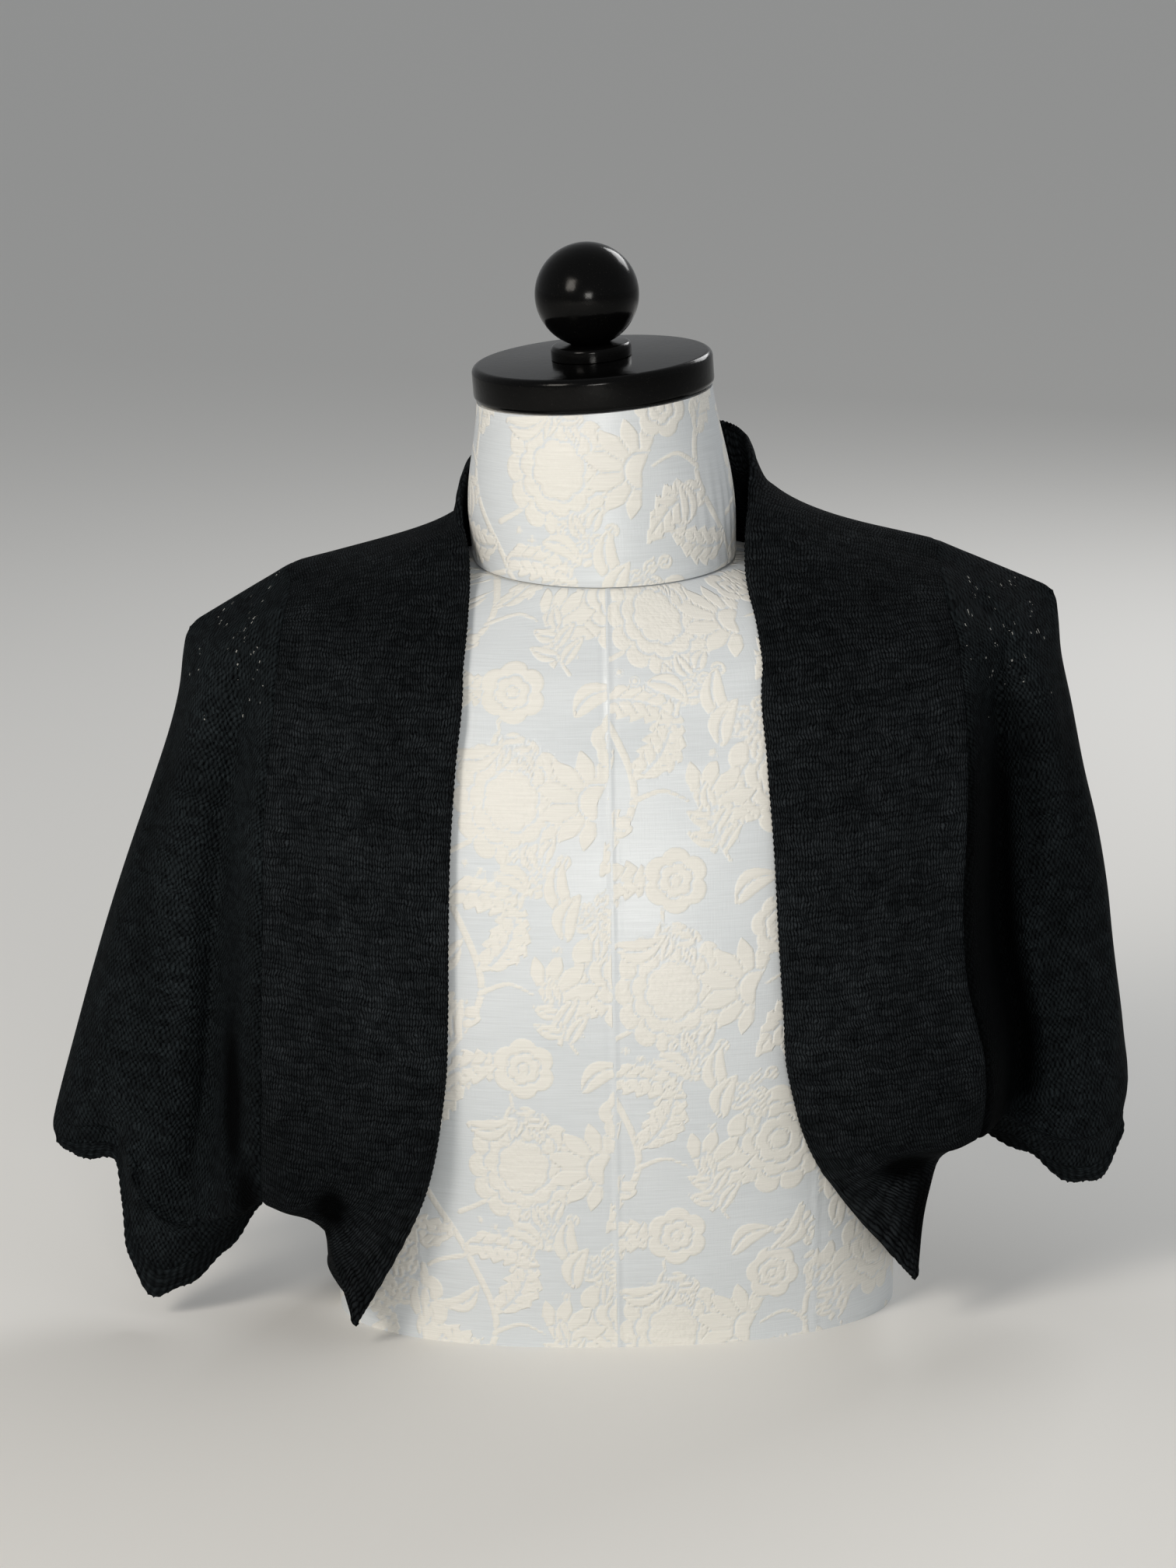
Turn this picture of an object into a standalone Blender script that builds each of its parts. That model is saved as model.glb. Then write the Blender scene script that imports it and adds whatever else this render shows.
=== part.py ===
"""A knitted shrug worn by a waist-length dress form.

Metres, +Z up. The form stands on its flat bottom at z = 0 and faces -Y, so the wearer's
right is at -X. The tables are in millimetres: across is the distance from the middle,
out is the distance towards the front, and up is the height.
"""

import math

import bmesh
import bpy
from mathutils import Matrix, Vector

MM = 0.001

# Driving sizes of the knit, in millimetres
KNIT = 2.4            # thickness of the knitted wall
SEAM_GAP = 0.45       # half of the space between two pieces that are sewn together
TURNED_GAP = 1.1      # the same, where a seam turns a corner
CLEAR = 5.2           # outer face of the knit above the form
CUFF_DEPTH = 20.0

# Driving sizes of the dress form, in millimetres
SHOULDER_RING = 325.0      # height of the widest ring, through the shoulder tips
NECK_SEAM = 373.0          # height of the neck seam at the sides
NECK_SEAM_SLOPE = 0.115    # the seam falls this much towards the front
NECK_TOP = 452.0
NECK_LEAN = -0.045         # sideways lean of the neck
CAP_RADIUS = 58.0
CAP_THICK = 17.0
CAP_ROLL = math.radians(-3.4)
CAP_PITCH = math.radians(3.8)
FOOT_RADIUS = 19.3
FOOT_HEIGHT = 6.5
BALL_RADIUS = 25.0
FIT = 0.35                 # space between two hard pieces that touch

# Torso sections: height, right, left, front, back, all in millimetres from the axis
TORSO = [
    (0.0, 138.0, 138.0, 84.0, 90.0),
    (40.0, 139.0, 139.0, 92.0, 90.0),
    (90.0, 143.0, 143.0, 102.0, 90.0),
    (140.0, 149.0, 150.0, 112.0, 92.0),
    (190.0, 154.0, 156.0, 116.0, 97.0),
    (240.0, 158.0, 162.0, 110.0, 101.0),
    (290.0, 169.0, 179.0, 97.0, 98.0),
    (SHOULDER_RING, 183.0, 195.0, 83.0, 88.0),
]
SECTION_POWER = 2.3        # squareness of the torso sections
SHOULDER_POWER = 0.38      # how soon the shoulder reaches its height from the tip

# Neck sections: share of height, half_width, front, back
NECK = [
    (0.0, 63.5, 58.0, 66.0),
    (0.4, 64.0, 57.0, 65.0),
    (1.0, 56.8, 54.0, 60.0),
]

# The band is one strip round the opening. Each row is a section across it:
# free_across, free_out, free_up, seam_across, seam_out, seam_up, bow_out, bow_up, skew.
# A small skew puts the deepest part of the bow near the free edge, as where a collar turns.
FRONT_RIGHT = [
    (-67.0, -14.0, 412.0, -150.0, -6.0, 372.0, 0.0, -19.0, 0.33),
    (-64.5, 22.0, 386.0, -151.0, 22.0, 364.0, 4.0, 1.0, 0.5),
    (-64.0, 65.0, 353.0, -154.0, 46.0, 349.0, 8.0, 1.0, 0.75),
    (-67.5, 87.0, 319.0, -157.0, 65.0, 320.0, 8.0, 0.0, 0.75),
    (-71.5, 98.0, 284.0, -161.0, 74.0, 287.0, 8.0, 0.0, 0.75),
    (-74.5, 106.0, 248.0, -164.0, 80.0, 252.0, 8.0, 0.0, 0.75),
    (-76.0, 111.0, 211.0, -165.0, 84.0, 218.0, 8.0, 0.0, 0.75),
    (-77.0, 111.0, 173.0, -166.0, 86.0, 182.0, 9.0, 0.0, 0.75),
    (-80.0, 107.0, 130.0, -168.0, 86.0, 134.0, 12.0, 0.0, 0.75),
    (-92.0, 98.0, 76.0, -170.0, 82.0, 96.0, 14.0, 2.0, 0.75),
    (-125.5, 84.0, 14.0, -169.0, 76.0, 74.0, 8.0, 26.0, 0.75),
    (-127.0, 72.0, 17.0, -164.0, 34.0, 94.0, 4.0, 16.0, 0.75),
]
FRONT_LEFT = [
    (72.0, -14.0, 421.0, 158.0, -6.0, 378.0, 0.0, -14.0, 0.5),
    (67.0, 14.0, 396.0, 160.0, 16.0, 371.0, 4.0, 2.0, 0.5),
    (66.5, 61.0, 354.0, 163.0, 40.0, 353.0, 8.0, 1.0, 0.75),
    (70.5, 85.0, 318.0, 168.0, 58.0, 326.0, 8.0, 0.0, 0.75),
    (73.5, 98.0, 283.0, 170.0, 70.0, 290.0, 8.0, 0.0, 0.75),
    (76.0, 106.0, 247.0, 169.0, 78.0, 250.0, 8.0, 0.0, 0.75),
    (77.5, 111.0, 209.0, 167.0, 82.0, 212.0, 8.0, 0.0, 0.75),
    (79.5, 111.0, 171.0, 169.0, 84.0, 176.0, 9.0, 0.0, 0.75),
    (82.0, 107.0, 137.0, 177.0, 84.0, 138.0, 13.0, 0.0, 0.75),
    (97.0, 96.0, 90.0, 177.0, 80.0, 112.0, 14.0, 0.0, 0.75),
    (143.0, 78.0, 30.0, 172.0, 76.0, 101.0, 8.0, 33.0, 0.75),
    (142.0, 64.0, 34.0, 166.0, 34.0, 106.0, 4.0, 18.0, 0.75),
]
COLLAR = [
    (-55.0, -56.0, 423.0, -112.0, -66.0, 358.0, 5.0, -20.0, 0.35),
    (0.0, -80.0, 430.0, 0.0, -102.0, 342.0, 4.0, -6.0, 0.5),
    (60.0, -56.0, 430.0, 118.0, -66.0, 364.0, 6.0, -16.0, 0.4),
]
LOWER_BACK = [
    (137.0, 10.0, 24.0, 152.0, -12.0, 112.0, -1.0, 0.0, 0.75),
    (92.0, -76.0, 16.0, 100.0, -80.0, 114.0, -4.0, 0.0, 0.75),
    (0.0, -101.0, 13.0, 0.0, -104.0, 112.0, -5.0, 0.0, 0.75),
    (-92.0, -76.0, 14.0, -100.0, -80.0, 110.0, -4.0, 0.0, 0.75),
    (-137.0, 10.0, 18.0, -152.0, -12.0, 100.0, -1.0, 0.0, 0.75),
]

# Sleeves, cut in one with the narrow fronts. A row for each section, from the shoulder
# ridge down: outer_across, outer_up, front_full, valley, back_across, back_out, back_up,
# back_full. The rows go with the band's rows, so that the seam points are shared.
SLEEVE_RIGHT = [
    (203.5, 341.0, 0.0, 0.0, 150.0, -7.0, 371.9, 0.0),
    (206.0, 327.0, 30.0, 0.0, 151.0, -34.0, 364.0, 28.0),
    (208.5, 310.0, 46.0, 1.0, 154.0, -56.0, 351.0, 40.0),
    (214.0, 290.0, 50.0, 3.0, 157.0, -70.0, 325.0, 44.0),
    (224.0, 262.0, 47.0, 8.0, 158.0, -74.0, 288.0, 42.0),
    (236.0, 230.0, 48.0, 10.0, 158.0, -70.0, 254.0, 40.0),
    (247.0, 199.0, 48.0, 12.0, 157.0, -62.0, 219.0, 38.0),
    (257.0, 168.0, 46.0, 16.0, 157.0, -50.0, 184.0, 36.0),
    (267.0, 135.0, 43.0, 20.0, 159.0, -30.0, 146.0, 33.0),
    (273.0, 115.0, 41.0, 20.0, 162.0, -4.0, 120.0, 31.0),
    (277.0, 101.0, 39.0, 12.0, 163.0, 16.0, 104.0, 29.0),
    (279.0, 93.0, 38.0, 4.0, 164.5, 33.0, 94.0, 27.0),
]
SLEEVE_LEFT = [
    (219.0, 351.5, 0.0, 0.0, 158.0, -7.0, 376.9, 0.0),
    (220.5, 336.0, 22.0, 3.0, 159.0, -34.0, 368.0, 24.0),
    (222.0, 319.0, 37.0, 3.0, 160.0, -56.0, 352.0, 36.0),
    (227.0, 295.0, 43.0, 8.0, 161.0, -70.0, 326.0, 42.0),
    (233.0, 264.0, 40.0, 17.0, 161.0, -74.0, 290.0, 42.0),
    (240.0, 234.0, 37.0, 26.0, 160.0, -70.0, 254.0, 40.0),
    (245.0, 204.0, 36.0, 30.0, 159.0, -62.0, 218.0, 38.0),
    (248.0, 174.0, 36.0, 34.0, 159.0, -50.0, 184.0, 36.0),
    (252.0, 144.0, 36.0, 34.0, 161.0, -30.0, 150.0, 34.0),
    (254.0, 126.0, 36.0, 28.0, 163.0, -4.0, 128.0, 32.0),
    (255.5, 114.0, 35.0, 14.0, 164.5, 16.0, 114.0, 30.0),
    (256.0, 105.0, 34.0, 4.0, 166.5, 33.0, 106.0, 28.0),
]
OUTER_FOLD_OUT = -8.0      # the fold down the outside of a sleeve lies behind the middle
FOLD_START = 0.42          # share of a sleeve's section where it starts to turn round

# Hem of the sleeves: share, across, out, up, from the underarm fold to the outer fold
HEM_RIGHT = [
    (0.00, 176.0, 12.0, 51.0),
    (0.12, 194.0, 24.0, 30.0),
    (0.26, 217.0, 31.0, 14.0),
    (0.36, 231.0, 31.0, 13.5),
    (0.48, 241.0, 27.0, 32.0),
    (0.62, 244.0, 19.0, 58.0),
    (0.74, 249.0, 8.0, 75.0),
    (0.88, 268.0, 4.0, 76.5),
    (1.00, 281.0, -7.0, 80.5),
]
HEM_LEFT = [
    (0.00, 182.0, 12.0, 83.0),
    (0.14, 190.0, 20.0, 80.0),
    (0.30, 203.0, 25.0, 76.0),
    (0.46, 215.0, 27.0, 66.0),
    (0.62, 228.0, 27.0, 60.0),
    (0.76, 239.0, 22.0, 61.0),
    (0.88, 248.0, 12.0, 70.0),
    (0.95, 253.0, 3.0, 80.0),
    (1.00, 254.5, -7.0, 87.0),
]
HEM_DROP = 46.0            # length of sleeve from the underarm to the hem
BACK_HEM_LIFT = 10.0       # the back of the sleeve hem hangs this much less low

# The back: depth of its middle by its share of fall from the collar
BACK_MIDDLE = [
    (0.0, -102.0),
    (0.25, -107.0),
    (0.55, -107.0),
    (0.85, -109.0),
    (1.0, -104.0),
]
BACK_TOP = 342.0
BACK_LOW = 112.0
BACK_POWER = 2.6           # squareness of a section across the back
BACK_EASE = 2.5            # the back stands this much further off the form

# Counts of facets
ROUND = 32
STRIP_COLUMNS = 6
STEPS_PER_ROW = 2
CURVED_STEPS_PER_ROW = 4
SLEEVE_COLUMNS = 18
BACK_COLUMNS = 24


def spline(rows, place, closed=False):
    """Values of a table at a place between its rows, on a smooth curve through them."""
    count = len(rows)
    if closed:
        place = place % count
    else:
        place = min(max(place, 0.0), count - 1.0)
    first = min(int(place), count - 1 if closed else count - 2)
    share = place - first

    def row(index):
        return rows[index % count] if closed else rows[min(max(index, 0), count - 1)]

    before, here, after, beyond = row(first - 1), row(first), row(first + 1), row(first + 2)
    values = []
    for a, b, c, d in zip(before, here, after, beyond):
        values.append(0.5 * (2 * b + (c - a) * share
                             + (2 * a - 5 * b + 4 * c - d) * share ** 2
                             + (3 * b - a - 3 * c + d) * share ** 3))
    return values


def table_at(rows, key):
    """Row of a table at a value of its first column."""
    if key <= rows[0][0]:
        return spline(rows, 0.0)
    for index in range(len(rows) - 1):
        low, high = rows[index][0], rows[index + 1][0]
        if key <= high:
            return spline(rows, index + (key - low) / (high - low))
    return spline(rows, len(rows) - 1.0)


def mix(a, b, share):
    return a + (b - a) * share


def smooth(share):
    share = min(max(share, 0.0), 1.0)
    return share * share * (3 - 2 * share)


def soft_max(a, b, blend=2.0):
    return 0.5 * (a + b + math.hypot(a - b, blend))


def super_radius(half_width, depth, side, power):
    """Distance to a rounded section whose direction has the sine side."""
    across = abs(side) / half_width
    along = math.sqrt(max(0.0, 1 - side * side)) / depth
    return (across ** power + along ** power) ** (-1 / power)


def neck_radius(side, front_share, share):
    width, front, back = table_at(NECK, share)[1:]
    return super_radius(width, front if front_share > 0 else back, side, 2.0)


def form_radius(side, front_share, up):
    """Radius of the form at a height; side and front_share give the direction."""
    if up <= SHOULDER_RING:
        right, left, front, back = table_at(TORSO, up)[1:]
        return super_radius(left if side > 0 else right, front if front_share > 0 else back,
                            side, SECTION_POWER)
    ring = form_radius(side, front_share, SHOULDER_RING)
    neck = neck_radius(side, front_share, 0.0)
    seam = NECK_SEAM - NECK_SEAM_SLOPE * front_share * neck
    if up >= seam:
        return neck_radius(side, front_share, (up - seam) / (NECK_TOP - NECK_SEAM))
    power = mix(1.0, SHOULDER_POWER, side * side)
    inward = ((up - SHOULDER_RING) / (seam - SHOULDER_RING)) ** (1 / power)
    return mix(ring, neck, inward)


def off_form(across, out, up, clear=CLEAR):
    """Push a point of the knit out until it clears the form."""
    radius = math.hypot(across, out)
    if radius < 1.0:
        return across, out, up
    side, front_share = across / radius, out / radius
    least = form_radius(side, front_share, up - 0.6 * clear) + clear
    scale = soft_max(radius, least) / radius
    return across * scale, out * scale, up


def point(across, out, up):
    return Vector((across * MM, -out * MM, up * MM))


# The band's ring of sections, from the right shoulder down, round the back and up
RING = FRONT_RIGHT + LOWER_BACK[::-1] + FRONT_LEFT[::-1] + COLLAR[::-1]
RIGHT_END = len(FRONT_RIGHT) - 1
LEFT_END = len(FRONT_RIGHT) + len(LOWER_BACK)
LEFT_TOP = LEFT_END + len(FRONT_LEFT) - 1

# Places along a sleeve: its table's rows, then the cuff, then the hem one place on
SLEEVE_LAST = len(SLEEVE_RIGHT) - 1
SLEEVE_ROWS = SLEEVE_LAST * STEPS_PER_ROW
CUFF_START = SLEEVE_LAST + 1 - CUFF_DEPTH / HEM_DROP
DRAPE_START = SLEEVE_LAST - 3
BACK_STEP = 1 / SLEEVE_ROWS


def band_point(place, share):
    """A point of the band: place along the ring, share from free edge to seam."""
    row = spline(RING, place, closed=True)
    bow = math.sin(math.pi * min(max(share, 0.0), 1.0) ** row[8])
    across = mix(row[0], row[3], share)
    out = mix(row[1], row[4], share) + row[6] * bow
    up = mix(row[2], row[5], share) + row[7] * bow
    return off_form(across, out, up)


def sleeve_section(side, place, share, front):
    """A point of a sleeve's front or back wall, share from its inner edge outwards."""
    row = spline(SLEEVE_RIGHT if side < 0 else SLEEVE_LEFT, place)
    outer_across, outer_up, front_full, valley, back_across, back_out, back_up, back_full = row
    turn = max(0.0, (share - FOLD_START) / (1 - FOLD_START))
    rounding = math.sqrt(max(0.0, 1 - turn * turn))
    inner = min(share / FOLD_START, 1.0)
    if front:
        start = band_point(place if side < 0 else LEFT_TOP - place, 1.0)
        full = OUTER_FOLD_OUT + front_full * rounding
        dip = valley * math.sin(math.pi * inner ** 1.5) ** 2
    else:
        start = (back_across, back_out, back_up)
        full = OUTER_FOLD_OUT - back_full * rounding
        dip = 0.0
    across = mix(abs(start[0]), outer_across, share)
    out = mix(start[1], full, smooth(inner)) - dip
    up = mix(start[2], outer_up, share)
    return across, out, up


def hem_point(side, share, front):
    """A point of a sleeve's hem; its back hangs nearly straight from edge to edge."""
    rows = HEM_RIGHT if side < 0 else HEM_LEFT
    across, out, up = table_at(rows, share)[1:]
    if front:
        return across, out, up
    across = mix(across, mix(rows[0][1], rows[-1][1], share), 0.85)
    up = mix(up, mix(rows[0][3], rows[-1][3], share), 0.85)
    out = 2 * OUTER_FOLD_OUT - 0.85 * out + 20.0 * (1 - share) ** 2
    return across, out, up + BACK_HEM_LIFT * math.sin(math.pi * share)


def sleeve_point(side, place, share, front):
    """Place runs along the sleeve: the table's rows, then one step to the hem.

    The drape, what the hem has beyond a plain section, fades in over the last rows.
    """
    past = max(0.0, place - SLEEVE_LAST)
    drape_share = smooth((place - DRAPE_START) / (SLEEVE_LAST + 1 - DRAPE_START))
    spot = sleeve_section(side, min(place, SLEEVE_LAST), share, front)
    if drape_share > 0:
        last = sleeve_section(side, SLEEVE_LAST, share, front)
        inner, outer = (sleeve_section(side, SLEEVE_LAST, end, front) for end in (0.0, 1.0))
        hem, hem_inner, hem_outer = (hem_point(side, at, front) for at in (share, 0.0, 1.0))
        moved = []
        for axis in range(3):
            shift = mix(hem_inner[axis] - inner[axis], hem_outer[axis] - outer[axis], share)
            drape = hem[axis] - last[axis] - shift
            moved.append(spot[axis] + past * shift + drape_share * drape)
        spot = moved
    return off_form(spot[0] * side, spot[1], spot[2])


def plain_back(share, fall):
    """A section across the back, before it is fitted to the band's seams."""
    right = sleeve_point(-1, fall * SLEEVE_LAST, 0.0, False)
    left = sleeve_point(1, fall * SLEEVE_LAST, 0.0, False)
    edge_top, edge_low = SLEEVE_RIGHT[0][6], SLEEVE_RIGHT[-1][6]
    down = (edge_top - spline(SLEEVE_RIGHT, fall * SLEEVE_LAST)[6]) / (edge_top - edge_low)
    middle_out = table_at(BACK_MIDDLE, down)[1]
    middle_up = mix(BACK_TOP, BACK_LOW, down)
    round_off = (1 - abs(2 * share - 1) ** BACK_POWER) ** (1 / BACK_POWER)
    return (mix(right[0], left[0], share),
            mix(mix(right[1], left[1], share), middle_out, round_off),
            mix(mix(right[2], left[2], share), middle_up, smooth(round_off)))


def back_point(share, fall):
    """A point of the back: share from the right sleeve to the left, fall from the collar."""
    collar = band_point(len(RING) - share * (len(COLLAR) + 1), 1.0)
    lower = band_point(mix(RIGHT_END, LEFT_END, share), 1.0)
    near_top = (1 - fall) ** 2
    near_low = fall ** 3
    values = []
    for base, top, plain_top, low, plain_low in zip(plain_back(share, fall), collar,
                                                    plain_back(share, 0.0), lower,
                                                    plain_back(share, 1.0)):
        values.append(base + (top - plain_top) * near_top + (low - plain_low) * near_low)
    inner = math.sin(math.pi * share) * math.sin(math.pi * fall)
    return off_form(*values, clear=CLEAR + BACK_EASE * inner ** 0.5)


def new_object(name, bm, finish):
    mesh = bpy.data.meshes.new(name)
    bm.to_mesh(mesh)
    bm.free()
    thing = bpy.data.objects.new(name, mesh)
    collection.objects.link(thing)
    mesh.materials.append(finish)
    mesh.shade_smooth()
    return thing


def surface(columns, rows, place_of):
    """A grid of faces whose points are worked out from two shares from 0 to 1."""
    bm = bmesh.new()
    bmesh.ops.create_grid(bm, x_segments=columns, y_segments=rows, size=0.5)
    for vertex in bm.verts:
        vertex.co = point(*place_of(vertex.co.x + 0.5, vertex.co.y + 0.5))
    return bm


def face_out(bm, centre):
    """Turn the surface so that its faces look away from the centre."""
    total = 0.0
    for face in bm.faces:
        total += face.normal.dot(face.calc_center_median() - centre) * face.calc_area()
    if total < 0:
        bmesh.ops.reverse_faces(bm, faces=bm.faces)


def setback(inside, edge, beyond, gap):
    """Space at a seam: half the seam, and room for the walls where the knit turns."""
    turn = (edge - inside).angle(beyond - edge, 0.0)
    return gap + KNIT * math.tan(0.5 * min(turn, math.radians(100)))


def open_seams(columns, rows, place_of, beyond, gap):
    """Points of a piece whose sewn edges are drawn back from the neighbour.

    beyond has a function for each sewn edge (left, right, low, high). It gives a point
    just inside the neighbour at the same station.
    """
    def draw_back(u, v):
        spot = point(*place_of(u, v))
        moved = spot.copy()
        steps = {"left": (1 / columns, 0), "right": (-1 / columns, 0),
                 "low": (0, 1 / rows), "high": (0, -1 / rows)}
        on_edge = {"left": u < 1e-5, "right": u > 1 - 1e-5, "low": v < 1e-5, "high": v > 1 - 1e-5}
        for edge, (across, along) in steps.items():
            if not on_edge[edge] or edge not in beyond:
                continue
            neighbour = beyond[edge](v if across else u)
            if neighbour is None:
                continue
            inside = point(*place_of(u + across, v + along))
            inward = (inside - spot).normalized()
            moved += inward * setback(inside, spot, point(*neighbour), gap) * MM
        return moved.x / MM, -moved.y / MM, moved.z / MM

    return draw_back


def knit_piece(name, columns, rows, place_of, finish, beyond, centre=(0.0, 0.0, 0.2),
               gap=SEAM_GAP):
    """One piece of knit, with its wall thickness on its inner side."""
    bm = surface(columns, rows, open_seams(columns, rows, place_of, beyond, gap))
    bmesh.ops.remove_doubles(bm, verts=bm.verts, dist=0.00005)
    bm.normal_update()
    face_out(bm, Vector(centre))
    thing = new_object(name, bm, finish)
    wall = thing.modifiers.new("knit", "SOLIDIFY")
    wall.thickness = KNIT * MM
    wall.offset = -1.0
    return thing


def band_stretch(name, start, end, steps, finish):
    """A stretch of the band between two places of its ring."""
    rows = round(abs(end - start) * steps)
    step = 1 / steps

    def place_of(u, v):
        return band_point(mix(start, end, v), u)

    def beside_seam(v):
        return beside_band(mix(start, end, v))

    beyond = {"low": lambda u: band_point(start - step, u),
              "high": lambda u: band_point(end + step, u),
              "right": beside_seam}
    return knit_piece(name, STRIP_COLUMNS, rows, place_of, finish, beyond)


def beside_band(place):
    """A point of the piece that is sewn to the band's seam, just past the seam."""
    if place <= RIGHT_END:
        return sleeve_point(-1, place, FIRST_SHARE, True)
    if place < LEFT_END:
        return back_point((place - RIGHT_END) / (LEFT_END - RIGHT_END), 1 - BACK_STEP)
    if place <= LEFT_TOP:
        return sleeve_point(1, LEFT_TOP - place, FIRST_SHARE, True)
    return back_point((len(RING) - place) / (len(COLLAR) + 1), BACK_STEP)


def sleeve_share(u):
    """From the front inner edge, round the outer fold, to the back inner edge."""
    front = u <= 0.5
    share = 2 * u if front else 2 - 2 * u
    return math.sin(share * math.pi / 2) ** 1.2 * 0.35 + share * 0.65, front


FIRST_SHARE = sleeve_share(1 / SLEEVE_COLUMNS)[0]


def sleeve_piece(side, name, finish):
    rows = SLEEVE_ROWS + 2

    def place_of(u, v):
        share, front = sleeve_share(u)
        return sleeve_point(side, sleeve_place(v * rows), share, front)

    def beyond_front(v):
        place = sleeve_place(v * rows)
        if place > SLEEVE_LAST:
            return None
        return band_point(place if side < 0 else LEFT_TOP - place, 1 - 1 / STRIP_COLUMNS)

    def beyond_back(v):
        place = sleeve_place(v * rows)
        if place > SLEEVE_LAST:
            return None
        across = 1 / BACK_COLUMNS
        return back_point(across if side < 0 else 1 - across, place / SLEEVE_LAST)

    def beyond_hem(u):
        share, front = sleeve_share(u)
        return sleeve_point(side, SLEEVE_LAST + 1.0, share, front)

    beyond = {"left": beyond_front, "right": beyond_back, "high": beyond_hem}
    return knit_piece(name, SLEEVE_COLUMNS, rows, place_of, finish, beyond,
                      centre=(0.215 * side, 0.0, 0.2))


def sleeve_place(row):
    """Place along a sleeve at a row of facets; the last two rows end at the cuff."""
    place = row / STEPS_PER_ROW
    if place <= SLEEVE_LAST:
        return place
    return mix(SLEEVE_LAST, CUFF_START, (row - SLEEVE_ROWS) / 2)


def cuff_piece(side, name, finish):
    def place_of(u, v):
        share, front = sleeve_share(u)
        return sleeve_point(side, mix(CUFF_START, SLEEVE_LAST + 1.0, v), share, front)

    def beyond_cuff(u):
        share, front = sleeve_share(u)
        return sleeve_point(side, sleeve_place(SLEEVE_ROWS + 1), share, front)

    return knit_piece(name, SLEEVE_COLUMNS, 2, place_of, finish, {"low": beyond_cuff},
                      centre=(0.215 * side, 0.0, 0.07), gap=TURNED_GAP)


def back_piece(finish):
    def place_of(u, v):
        return back_point(u, v)

    def beyond_right(v):
        return sleeve_point(-1, v * SLEEVE_LAST, FIRST_SHARE, False)

    def beyond_left(v):
        return sleeve_point(1, v * SLEEVE_LAST, FIRST_SHARE, False)

    def beyond_collar(u):
        return band_point(len(RING) - u * (len(COLLAR) + 1), 1 - 1 / STRIP_COLUMNS)

    def beyond_lower(u):
        return band_point(mix(RIGHT_END, LEFT_END, u), 1 - 1 / STRIP_COLUMNS)

    beyond = {"left": beyond_right, "right": beyond_left, "low": beyond_collar,
              "high": beyond_lower}
    return knit_piece("back", BACK_COLUMNS, SLEEVE_ROWS, place_of, finish, beyond,
                      gap=TURNED_GAP)


def form_torso(finish):
    """Rings from the flat bottom to the neck seam."""
    low_rows, top_rows = 12, 7
    rows = low_rows + top_rows

    def place_of(u, v):
        turn = 2 * math.pi * u
        side, front_share = math.sin(turn), math.cos(turn)
        step = v * rows
        if step <= low_rows:
            up = SHOULDER_RING * step / low_rows
            radius = form_radius(side, front_share, up)
        else:
            inward = ((step - low_rows) / top_rows) ** 1.8
            ring = form_radius(side, front_share, SHOULDER_RING)
            neck = neck_radius(side, front_share, 0.0)
            seam = NECK_SEAM - NECK_SEAM_SLOPE * front_share * neck
            power = mix(1.0, SHOULDER_POWER, side * side)
            radius = mix(ring, neck, inward)
            up = mix(SHOULDER_RING, seam, inward ** power)
        return radius * side, radius * front_share, up

    return closed_form("form_torso", rows, place_of, finish)


def form_neck(finish):
    rows = 5

    def place_of(u, v):
        turn = 2 * math.pi * u
        side, front_share = math.sin(turn), math.cos(turn)
        radius = neck_radius(side, front_share, v)
        across, out = radius * side, radius * front_share
        low = NECK_SEAM - NECK_SEAM_SLOPE * out + FIT
        high = NECK_TOP - across * math.tan(CAP_ROLL) - out * math.tan(CAP_PITCH)
        up = mix(low, high, v)
        return across + (up - NECK_SEAM) * NECK_LEAN, out, up

    return closed_form("form_neck", rows, place_of, finish)


def closed_form(name, rows, place_of, finish):
    """A round closed solid with flat ends."""
    bm = surface(ROUND, rows, place_of)
    bmesh.ops.remove_doubles(bm, verts=bm.verts, dist=0.00005)
    bmesh.ops.holes_fill(bm, edges=bm.edges, sides=0)
    bmesh.ops.recalc_face_normals(bm, faces=bm.faces)
    thing = new_object(name, bm, finish)
    thing.data.set_sharp_from_angle(angle=math.radians(50))
    return thing


def turned(name, profile, steps, finish, matrix):
    """A turned solid from a profile of radius and height, top to bottom."""
    bm = bmesh.new()
    corners = [bm.verts.new((radius * MM, 0.0, up * MM)) for radius, up in profile]
    edges = [bm.edges.new(pair) for pair in zip(corners, corners[1:])]
    bmesh.ops.spin(bm, geom=corners + edges, cent=(0, 0, 0), axis=(0, 0, 1),
                   angle=2 * math.pi, steps=steps, use_merge=True)
    bmesh.ops.remove_doubles(bm, verts=bm.verts, dist=0.00001)
    bmesh.ops.recalc_face_normals(bm, faces=bm.faces)
    bmesh.ops.transform(bm, matrix=matrix, verts=bm.verts)
    thing = new_object(name, bm, finish)
    thing.data.set_sharp_from_angle(angle=math.radians(40))
    return thing


def arc(centre_radius, centre_up, radius, start, end, steps):
    """Points of a profile's arc, angles in degrees from the horizontal."""
    points = []
    for index in range(steps + 1):
        angle = math.radians(mix(start, end, index / steps))
        points.append((centre_radius + radius * math.cos(angle),
                       centre_up + radius * math.sin(angle)))
    return points


def neck_cap(finish, tilt):
    edge = 4.0
    profile = [(0.0, CAP_THICK)]
    profile += arc(CAP_RADIUS - edge, CAP_THICK - edge, edge, 90, 0, 3)
    profile += arc(CAP_RADIUS - edge, edge + FIT, edge, 0, -90, 3)
    profile += [(0.0, FIT)]
    return turned("neck_cap", profile, 40, finish, tilt)


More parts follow.
